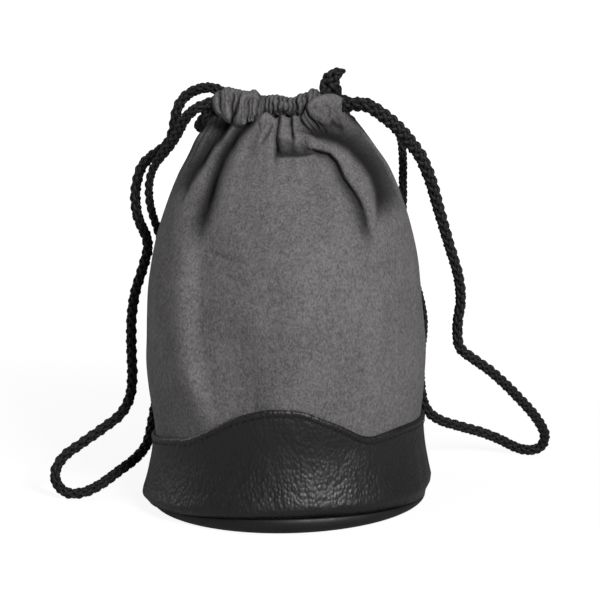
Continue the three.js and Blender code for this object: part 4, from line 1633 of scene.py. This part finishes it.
@dataclass
class Drawstrings:
    """The two braided cords, their turns at the far ends of the tunnels, their knots and tails.

    Lengths are in millimetres, and routes in shares of the radius and the height.
    """

    radius: float = 60.0
    height: float = 173.0
    diameter: float = 4.8
    clearance: float = 0.35
    tunnel_wall: float = 1.2
    tunnel_length: float = 55.0
    mouth_gap: float = 9.2
    rear_drop: float = 4.0
    ripple: float = 0.5
    held: float = 14.0
    gap: float = 0.3
    hold: float = 13.0
    knot_radius: float = 5.0
    knot_touch: float = 0.05
    knot_turns: float = 2.1
    knot_reach: float = 2.7
    knot_length: float = 6.4
    knot_taper: float = 0.55
    knot_points: int = 30
    bight_reach: float = 3.2
    bight_droop: float = 5.4
    hidden_reach: float = 2.6
    rear_sag: float = 3.0
    front_sag: float = 3.4
    low_sag: float = 1.2
    sag_width: float = 12.0
    sway: float = 1.9
    prong_points: int = 7
    early_exit: float = 18.0
    front_exit: float = 23.0
    step: float = 0.62
    yarns: int = 8
    first_normal: Point = (0.0, 0.31, 0.95)
    strand: float = 0.74
    ring: float = 1.3
    weave: float = 0.42
    pitch: float = 17.0
    slim: float = 0.8
    slim_over: float = 0.08
    left_slim_from: float = 0.5
    right_slim_from: float = 0.66
    right_loose: float = 0.3
    loose_until: Span = (0.12, 0.3)
    long_bulk: float = 1.95
    short_bulk: float = 1.0
    tail_draw: float = 0.85
    tail_power: float = 1.8
    left_knot: Point = (-0.87, 0.66, 0.45)
    right_knot: Point = (0.323, 0.308, 0.965)
    left_front: tuple[Point, ...] = (
        (-0.457, -0.17, 0.966), (-0.525, -0.185, 0.958), (-0.597, -0.153, 0.941), (-0.649, -0.108, 0.919),
        (-0.691, -0.057, 0.893), (-0.746, 0.0, 0.864), (-0.812, 0.057, 0.836), (-0.869, 0.103, 0.81),
        (-0.91, 0.15, 0.782), (-0.934, 0.197, 0.748), (-0.939, 0.247, 0.711), (-0.931, 0.303, 0.678),
        (-0.914, 0.377, 0.642), (-0.88, 0.48, 0.57),
    )
    left_rear: tuple[Point, ...] = (
        (-0.355, 0.15, 0.965), (-0.43, 0.158, 0.98), (-0.495, 0.175, 0.985), (-0.545, 0.2, 0.983),
        (-0.6, 0.217, 0.977), (-0.659, 0.233, 0.965), (-0.707, 0.237, 0.946), (-0.734, 0.24, 0.924),
        (-0.749, 0.243, 0.901), (-0.763, 0.25, 0.877), (-0.794, 0.257, 0.853), (-0.855, 0.263, 0.833),
        (-0.926, 0.27, 0.816), (-0.987, 0.28, 0.794), (-1.022, 0.293, 0.764), (-1.043, 0.31, 0.732),
        (-1.047, 0.327, 0.702), (-1.041, 0.35, 0.671), (-1.019, 0.38, 0.642), (-0.989, 0.407, 0.613),
        (-0.985, 0.42, 0.585), (-1.006, 0.42, 0.556), (-1.04, 0.407, 0.52), (-1.076, 0.385, 0.482),
        (-1.101, 0.33, 0.425), (-1.101, 0.26, 0.36), (-1.091, 0.165, 0.28),
        (-1.108, 0.12, 0.238), (-1.169, 0.09, 0.201), (-1.29, 0.065, 0.169), (-1.442, 0.045, 0.133),
        (-1.573, 0.02, 0.1), (-1.629, 0.005, 0.065), (-1.615, 0.0, 0.034), (-1.536, -0.03, 0.016),
        (-1.436, -0.01, 0.016), (-1.335, 0.075, 0.026), (-1.214, 0.22, 0.048), (-1.103, 0.37, 0.07),
        (-1.042, 0.475, 0.095), (-1.01, 0.57, 0.145), (-0.967, 0.62, 0.224), (-0.914, 0.65, 0.324),
    )
    right_long: tuple[Point, ...] = (
        (0.4, -0.1, 0.947), (0.462, -0.112, 0.954), (0.523, -0.138, 0.957), (0.565, -0.16, 0.958),
        (0.616, -0.175, 0.953), (0.69, -0.16, 0.934), (0.763, -0.11, 0.91), (0.827, -0.058, 0.883),
        (0.881, 0.0, 0.855), (0.939, 0.042, 0.823), (1.003, 0.1, 0.762), (1.048, 0.167, 0.696),
        (1.11, 0.25, 0.608), (1.177, 0.325, 0.515), (1.189, 0.38, 0.455), (1.163, 0.44, 0.388),
        (1.176, 0.49, 0.33), (1.275, 0.55, 0.295), (1.374, 0.617, 0.264), (1.478, 0.7, 0.224),
        (1.572, 0.8, 0.181), (1.66, 0.9, 0.138), (1.729, 1.015, 0.094), (1.763, 1.115, 0.054),
        (1.737, 1.165, 0.024), (1.667, 1.165, 0.014), (1.567, 1.19, 0.017), (1.433, 1.18, 0.041),
        (1.298, 1.13, 0.064), (1.159, 1.05, 0.085), (1.019, 0.95, 0.11), (0.935, 0.85, 0.141),
        (0.896, 0.77, 0.186), (0.888, 0.7, 0.276), (0.92, 0.67, 0.383), (0.866, 0.64, 0.486),
        (0.778, 0.6, 0.587), (0.79, 0.467, 0.657), (0.803, 0.342, 0.713), (0.806, 0.3, 0.752),
        (0.809, 0.275, 0.789), (0.808, 0.258, 0.826), (0.796, 0.25, 0.858), (0.745, 0.283, 0.888),
        (0.664, 0.333, 0.909), (0.587, 0.383, 0.927), (0.503, 0.417, 0.932), (0.42, 0.425, 0.94),
        (0.36, 0.4, 0.95),
    )
    right_stub: tuple[Point, ...] = (
        (0.405, 0.185, 0.916), (0.425, 0.258, 0.922), (0.375, 0.305, 0.94),
    )
    long_tail: tuple[Point, ...] = (
        (0.315, 0.297, 0.98), (0.326, 0.288, 0.994), (0.357, 0.28, 1.008), (0.427, 0.267, 1.018),
    )
    short_tail: tuple[Point, ...] = (
        (0.23, 0.375, 0.945), (0.175, 0.408, 0.922), (0.117, 0.417, 0.905),
    )

    def __post_init__(self) -> None:
        """Works out the tunnels' places from the shared sizes."""
        hollow = 2 * self.diameter + 3 * self.clearance
        width = self.diameter + 2 * self.clearance + 2 * self.tunnel_wall
        self.offset = (self.mouth_gap + width) / 2
        bottom = self.height - hollow - 2 * self.tunnel_wall - self.ripple
        self.lower = bottom + self.tunnel_wall + self.clearance + self.diameter / 2
        self.upper = self.lower + self.diameter + self.clearance
        self.exit_x = self.tunnel_length / 2
        self.inner_x = self.exit_x - self.held - self.gap / 2

    def spot(self, share: Point) -> Vector:
        """A route point in millimetres, kept off the floor."""
        x, y, z = share
        return Vector((x * self.radius, y * self.radius, max(z * self.height, self.diameter / 2)))

    def track(self, side: Side) -> float:
        """The height in the tunnels of the cord that leaves them at one end."""
        return self.upper if side is Side.LEFT else self.lower

    def prong(self, side: Side, facing: Facing, leave: float) -> list[Vector]:
        """The stretch of a cord inside a tunnel, from its inner end to where it leaves.

        Args:
            side: The end of the mouth that it leaves from.
            facing: Which tunnel it lies in.
            leave: How far from the middle it leaves.

        Returns:
            Points in millimetres.
        """
        level, sag, sway = self.track(side), self.front_sag, -self.sway
        if facing is Facing.REAR:
            level, sag, sway = level - self.rear_drop, self.rear_sag, 0.0
        elif side is Side.RIGHT:
            sag, sway = self.low_sag, self.sway
        points = []
        for k in range(self.prong_points):
            x = (leave + self.inner_x) * k / (self.prong_points - 1) - self.inner_x
            middle = bump(x, self.sag_width)
            y = facing.value * (self.offset + sway * middle)
            points.append(Vector((side.value * x, y, level - sag * middle)))
        return points

    def route(
        self, side: Side, facing: Facing, leave: float, free: Sequence[Point], knot: Vector
    ) -> list[Vector]:
        """The whole run of a cord, from inside its tunnel to the surface of its knot.

        Args:
            side: The end of the mouth that it leaves from.
            facing: Which tunnel it lies in.
            leave: How far from the middle it leaves.
            free: Its route outside, as shares of the radius and the height.
            knot: The knot's middle in millimetres.

        Returns:
            Points in millimetres.
        """
        points = [*self.prong(side, facing, leave), *map(self.spot, free)]
        back = (points[-1] - knot).normalized()
        return [*points, knot + back * (self.knot_radius + self.knot_touch)]

    def bight(self, side: Side, track: float, droop: float, turn_at: float, reach: float) -> list[Vector]:
        """The turn of a cord from one tunnel to the other.

        Args:
            side: The end of the mouth that it is at.
            track: The height of its track.
            droop: How far its middle hangs.
            turn_at: Where it leaves the tunnels.
            reach: How far it reaches out from there.

        Returns:
            Points in millimetres.
        """
        rear = track - self.rear_drop
        held = self.inner_x + self.gap
        out = turn_at + self.diameter / 2 + reach
        rows = [
            (held, -1.0, track), (turn_at, -1.0, track),
            ((turn_at + out) / 2, -0.92, track - droop / 2),
            (out, 0.0, (track + rear) / 2 - droop),
            ((turn_at + out) / 2, 0.92, rear - droop / 2),
            (turn_at, 1.0, rear), (held, 1.0, rear),
        ]
        return [Vector((side.value * x, y * self.offset, z)) for x, y, z in rows]

    @staticmethod
    def smooth_line(points: Sequence[Vector], step: float) -> list[Vector]:
        """A centripetal curve through points, read at about equal steps.

        Args:
            points: The route.
            step: Distance between the points that come back.

        Returns:
            Points along the curve.
        """
        ends = [2 * points[0] - points[1], *points, 2 * points[-1] - points[-2]]
        line: list[Vector] = []
        for p0, p1, p2, p3 in zip(ends, ends[1:], ends[2:], ends[3:]):
            d0, d1, d2 = ((b - a).length ** 0.5 for a, b in ((p0, p1), (p1, p2), (p2, p3)))
            m1 = ((p1 - p0) / d0 - (p2 - p0) / (d0 + d1) + (p2 - p1) / d1) * d1
            m2 = ((p2 - p1) / d1 - (p3 - p1) / (d1 + d2) + (p3 - p2) / d2) * d1
            count = max(1, round((p2 - p1).length / step))
            for k in range(count):
                t = k / count
                line.append(
                    p1 * (2 * t**3 - 3 * t**2 + 1) + m1 * (t**3 - 2 * t**2 + t)
                    + p2 * (3 * t**2 - 2 * t**3) + m2 * (t**3 - t**2)
                )
        line.append(points[-1].copy())
        return line

    def _strands(
        self, line: list[Vector], bulk: float, slim_from: float, loose: float
    ) -> list[list[tuple[Vector, float]]]:
        """The eight yarns of the braid along a line, as points and thickness shares.

        Args:
            line: The cord's centreline in millimetres.
            bulk: How thick a tail starts before it draws out to its tip, or 0 for an even cord.
            slim_from: The share of its length from which the cord is drawn tight and slimmer.
            loose: How much fuller the cord is over its first stretch.

        Returns:
            One list of (point, thickness) for each yarn.
        """
        total = sum((b - a).length for a, b in zip(line, line[1:]))
        yarns: list[list[tuple[Vector, float]]] = [[] for _ in range(self.yarns)]
        normal = Vector(self.first_normal)
        gone = 0.0
        for k, here in enumerate(line):
            ahead = line[min(k + 1, len(line) - 1)] - line[max(k - 1, 0)]
            ahead.normalize()
            normal = (normal - ahead * normal.dot(ahead)).normalized()
            side = ahead.cross(normal)
            if k:
                gone += (here - line[k - 1]).length
            share = gone / total
            thin = bulk * (1.0 - self.tail_draw * share**self.tail_power) if bulk else 1.0
            thin *= 1.0 - (1.0 - self.slim) * rise(share, slim_from, slim_from + self.slim_over)
            thin *= 1.0 + loose * (1.0 - rise(share, *self.loose_until))
            swing = 2.0 * math.pi * gone / self.pitch
            for yarn in range(self.yarns):
                hand = 1.0 if yarn < self.yarns / 2 else -1.0
                angle = hand * swing + yarn * math.pi / 2
                # Yarns of one hand pass over and under those of the other four times in a turn
                ring = (self.ring + hand * self.weave * math.cos(4.0 * swing)) * thin
                out = normal * math.cos(angle) + side * math.sin(angle)
                yarns[yarn].append((here + out * ring, thin))
        return yarns

    def braid(
        self,
        name: str,
        route: list[Vector],
        yarn: bpy.types.Material,
        bulk: float = 0.0,
        slim_from: float = 1.0,
        loose: float = 0.0,
    ) -> tuple[bpy.types.Object, Route]:
        """Braids a cord along a route.

        Args:
            name: The piece's name.
            route: Points in millimetres.
            yarn: The material.
            bulk: How thick a tail starts before it draws out to its tip, or 0 for an even cord.
            slim_from: The share of its length from which the cord is drawn tight and slimmer.
            loose: How much fuller the cord is over its first stretch.

        Returns:
            The piece and its centreline in metres.
        """
        line = self.smooth_line(route, self.step)
        curve = bpy.data.curves.new(name, "CURVE")
        curve.dimensions = "3D"
        curve.bevel_depth = self.strand * MM
        curve.bevel_resolution = 1
        curve.use_fill_caps = True
        for points in self._strands(line, bulk, slim_from, loose):
            spline = curve.splines.new("POLY")
            spline.points.add(len(points) - 1)
            for target, (spot, thick) in zip(spline.points, points):
                target.co = (*(spot * MM), 1.0)
                target.radius = thick
        holder = bpy.data.objects.new(name, curve)
        data = bpy.data.meshes.new_from_object(holder)
        bpy.data.objects.remove(holder)
        bpy.data.curves.remove(curve)
        data.name = name
        data.materials.clear()
        data.materials.append(yarn)
        data.shade_smooth()
        piece = bpy.data.objects.new(name, data)
        bpy.context.scene.collection.objects.link(piece)
        return piece, [tuple(p * MM) for p in line]

    def wrap(self, centre: Vector, toward: Vector, yarn: bpy.types.Material, name: str) -> bpy.types.Object:
        """Ties a knot: a tight helix of cord about a line.

        Args:
            centre: The knot's middle in millimetres.
            toward: The direction of its axis.
            yarn: The material.
            name: The piece's name.

        Returns:
            The piece.
        """
        axis = toward.normalized()
        first = axis.orthogonal().normalized()
        second = axis.cross(first)
        route = []
        for k in range(self.knot_points):
            t = k / (self.knot_points - 1)
            turn = 2.0 * math.pi * self.knot_turns * t
            reach = self.knot_reach * (1.0 - self.knot_taper * abs(2.0 * t - 1.0) ** 4)
            lift = (t - 0.5) * self.knot_length
            route.append(centre + axis * lift + (first * math.cos(turn) + second * math.sin(turn)) * reach)
        piece, _ = self.braid(name, route, yarn)
        return piece

    def _declare(
        self,
        piece: bpy.types.Object,
        node: str,
        side: Side,
    ) -> None:
        """Rides a free cord on its side's body in place of a node.

        Args:
            piece: The braided cord.
            node: The node it stands for.
            side: The end of the mouth that it leaves from.
        """
        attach(piece, Body[side.name].value)
        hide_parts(node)

    def _fixed(self, piece: bpy.types.Object, body: Body, node: str) -> bpy.types.Object:
        """Rides a cord piece on a body in place of a node.

        Args:
            piece: The cord piece.
            body: The body it rides on.
            node: The node it stands for.

        Returns:
            The piece.
        """
        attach(piece, body.value)
        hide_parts(node)
        LOG.info("%s built", piece.name)
        return piece

    def build(self, yarn: bpy.types.Material) -> None:
        """Builds both drawstrings and rides them on their bodies.

        Args:
            yarn: The cord's material.
        """
        left_knot, right_knot = self.spot(self.left_knot), self.spot(self.right_knot)
        front = self.route(Side.LEFT, Facing.FRONT, self.front_exit, self.left_front, left_knot)
        rear = self.route(Side.LEFT, Facing.REAR, self.early_exit, self.left_rear, left_knot)
        tie = self.wrap(left_knot, front[-1] - rear[-1], yarn, "left_tie")
        self._fixed(tie, Body.LEFT, "left_knot")
        strand, line = self.braid("left_front_strand", front, yarn, slim_from=self.left_slim_from)
        self._declare(strand, "left_cord_front", Side.LEFT)
        strand, line = self.braid("left_rear_strand", rear, yarn)
        self._declare(strand, "left_cord_rear", Side.LEFT)

        long = self.route(Side.RIGHT, Facing.FRONT, self.early_exit, self.right_long, right_knot)
        stub = self.route(Side.RIGHT, Facing.REAR, self.early_exit, self.right_stub, right_knot)
        tie = self.wrap(right_knot, long[-1] - stub[-1], yarn, "right_tie")
        on_long = [self._fixed(tie, Body.RIGHT, "right_knot")]
        for node, free, bulk in (
            ("right_tail_long", self.long_tail, self.long_bulk),
            ("right_tail_short", self.short_tail, self.short_bulk),
        ):
            placed = [self.spot(p) for p in free]
            start = right_knot.lerp(placed[0], 0.5)
            tail, _ = self.braid(node.replace("right_tail", "tail"), [start, *placed], yarn, bulk)
            on_long.append(self._fixed(tail, Body.RIGHT, node))
        strand, line = self.braid(
            "right_long_strand", long, yarn, slim_from=self.right_slim_from, loose=self.right_loose
        )
        self._declare(strand, "right_cord", Side.RIGHT)
        strand, line = self.braid("right_stub", stub, yarn)
        self._declare(strand, "right_cord_stub", Side.RIGHT)

        for node, side, track, droop, turn_at, reach in (
            ("left_bight", Side.RIGHT, self.upper, 0.0, self.early_exit - 1.0, self.hidden_reach),
            ("right_bight", Side.LEFT, self.lower, self.bight_droop, self.exit_x, self.bight_reach),
        ):
            turn, _ = self.braid(f"{node}_turn", self.bight(side, track, droop, turn_at, reach), yarn)
            self._fixed(turn, Body.POUCH, node)


@dataclass(frozen=True)
class Lamp:
    """A soft square lamp that faces the pouch."""

    name: str
    place: Point
    size: float
    power: float
    aim: Point = (0.0, 0.0, 0.09)

    def build(self) -> None:
        """Adds the lamp to the scene."""
        data = bpy.data.lights.new(self.name, "AREA")
        data.size = self.size
        data.energy = self.power
        lamp = bpy.data.objects.new(self.name, data)
        toward = Vector(self.aim) - Vector(self.place)
        turn = toward.to_track_quat("-Z", "Y").to_matrix().to_4x4()
        lamp.matrix_world = Matrix.Translation(self.place) @ turn
        bpy.context.scene.collection.objects.link(lamp)


@dataclass
class Studio:
    """Camera, lamps, floor and background, in metres and degrees."""

    azimuth: float = 4.5
    elevation: float = 11.5
    roll: float = 1.3
    distance: float = 1.3
    aim: Point = (0.0062, 0.0, 0.0838)
    pixels_per_metre: float = 2441.0
    picture: float = 600.0
    sensor: float = 36.0
    clip_end: float = 20.0
    floor_size: float = 6.0
    floor_colour: Point = (0.5, 0.5, 0.5)
    glow_reach: Span = (0.12, 0.9)
    glow_strength: Span = (1.45, 1.66)
    glow_share: float = 0.62
    fill: float = 0.14
    lamps: tuple[Lamp, ...] = (
        Lamp("key", (0.85, -1.4, 0.95), 0.5, 27.0),
        Lamp("edge", (-1.3, 0.35, 0.65), 0.6, 4.4),
    )

    def camera(self) -> None:
        """Sets the camera at the photograph's angle."""
        data = bpy.data.cameras.new("photo_view")
        data.sensor_width = self.sensor
        data.lens = self.pixels_per_metre * self.sensor / self.picture * self.distance
        data.clip_end = self.clip_end
        view = bpy.data.objects.new("photo_view", data)
        a, e = math.radians(self.azimuth), math.radians(self.elevation)
        back = Vector((math.sin(a) * math.cos(e), -math.cos(a) * math.cos(e), math.sin(e)))
        right = Vector((math.cos(a), math.sin(a), 0.0))
        turn = Matrix((right, back.cross(right), back)).transposed().to_4x4()
        place = Matrix.Translation(Vector(self.aim) + back * self.distance)
        view.matrix_world = place @ turn @ Matrix.Rotation(-math.radians(self.roll), 4, "Z")
        bpy.context.scene.collection.objects.link(view)
        bpy.context.scene.camera = view

    def floor(self) -> None:
        """Makes the pale floor, which the camera sees brighter away from the pouch."""
        mesh = bmesh.new()
        bmesh.ops.create_grid(mesh, x_segments=1, y_segments=1, size=self.floor_size)
        desk = NodeDesk("pale_floor")
        desk.set(Base_Color=(*self.floor_colour, 1.0), Roughness=0.9, Specular_IOR_Level=0.0)
        glow = desk.add("ShaderNodeEmission")
        away = desk.add("ShaderNodeVectorMath", operation="LENGTH")
        desk.link(desk.coords, away.inputs[0])
        strength = desk.spread(away.outputs["Value"], *self.glow_reach, *self.glow_strength)
        desk.link(strength, glow.inputs["Strength"])
        mix = desk.add("ShaderNodeMixShader")
        path = desk.add("ShaderNodeLightPath")
        desk.link(desk.maths("MULTIPLY", path.outputs["Is Camera Ray"], self.glow_share), mix.inputs[0])
        desk.link(desk.shader.outputs[0], mix.inputs[1])
        desk.link(glow.outputs[0], mix.inputs[2])
        desk.link(mix.outputs[0], desk.output.inputs[0])
        put(mesh, "floor", desk.material)

    def background(self) -> None:
        """Makes the background, white to the camera and a faint fill light to the rest."""
        world = bpy.data.worlds.new("studio")
        bpy.context.scene.world = world
        world.use_nodes = True
        nodes, links = world.node_tree.nodes, world.node_tree.links
        back = nodes["Background"]
        back.inputs["Color"].default_value = (1.0, 1.0, 1.0, 1.0)
        path = nodes.new("ShaderNodeLightPath")
        seen = nodes.new("ShaderNodeMath")
        seen.operation = "MAXIMUM"
        level = nodes.new("ShaderNodeMapRange")
        level.inputs["To Min"].default_value = self.fill
        level.inputs["To Max"].default_value = 1.0
        links.new(path.outputs["Is Camera Ray"], seen.inputs[0])
        links.new(path.outputs["Is Transmission Ray"], seen.inputs[1])
        links.new(seen.outputs[0], level.inputs[0])
        links.new(level.outputs[0], back.inputs["Strength"])

    def build(self) -> None:
        """Sets up the whole studio."""
        self.camera()
        for lamp in self.lamps:
            lamp.build()
        self.floor()
        self.background()
        bpy.context.scene.view_settings.view_transform = "Standard"


def dress_hidden_layers() -> None:
    """Gives the layers inside the base their own finishes."""
    finishes = {
        "base_lining": PlainClothFinish("lining_cloth", (0.09, 0.085, 0.078)),
        "base_foam": PlainClothFinish("pad_foam", (0.024, 0.024, 0.027), 900.0),
        "band_foam": PlainClothFinish("band_foam_fill", (0.024, 0.024, 0.027), 900.0),
        "base_board": PlainClothFinish("fibre_board", (0.25, 0.175, 0.097), 500.0),
    }
    for node, finish in finishes.items():
        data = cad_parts[node].data
        data.materials.clear()
        data.materials.append(finish.make())
        LOG.info("%s keeps its solid", node)


def main() -> None:
    """Builds the pieces in order."""
    logging.basicConfig(level=logging.INFO, format="%(name)s: %(message)s")
    Studio().build()
    Drawstrings().build(YarnFinish("cord_yarn", (0.0085, 0.0085, 0.009)).make())
    suede = SuedeFinish().make()
    body = SuedeBody()
    LOG.info("%s built", body.build(suede).name)
    for facing, flat in ((Facing.FRONT, (0.056, 0.04)), (Facing.REAR, (0.05, 0.038))):
        LOG.info("%s built", DrawTunnel(facing, flat=flat, seed=3 + facing.value).build(suede).name)
    base = LeatherBase(body=body)
    for piece in (
        base.build_band(GrainFinish().make()),
        base.build_stitches(YarnFinish("band_thread", (0.012, 0.012, 0.012), 0.5).make()),
        base.build_rim(SmoothLeatherFinish().make()),
    ):
        LOG.info("%s built", piece.name)
    dress_hidden_layers()


if __name__ == "__main__":
    main()
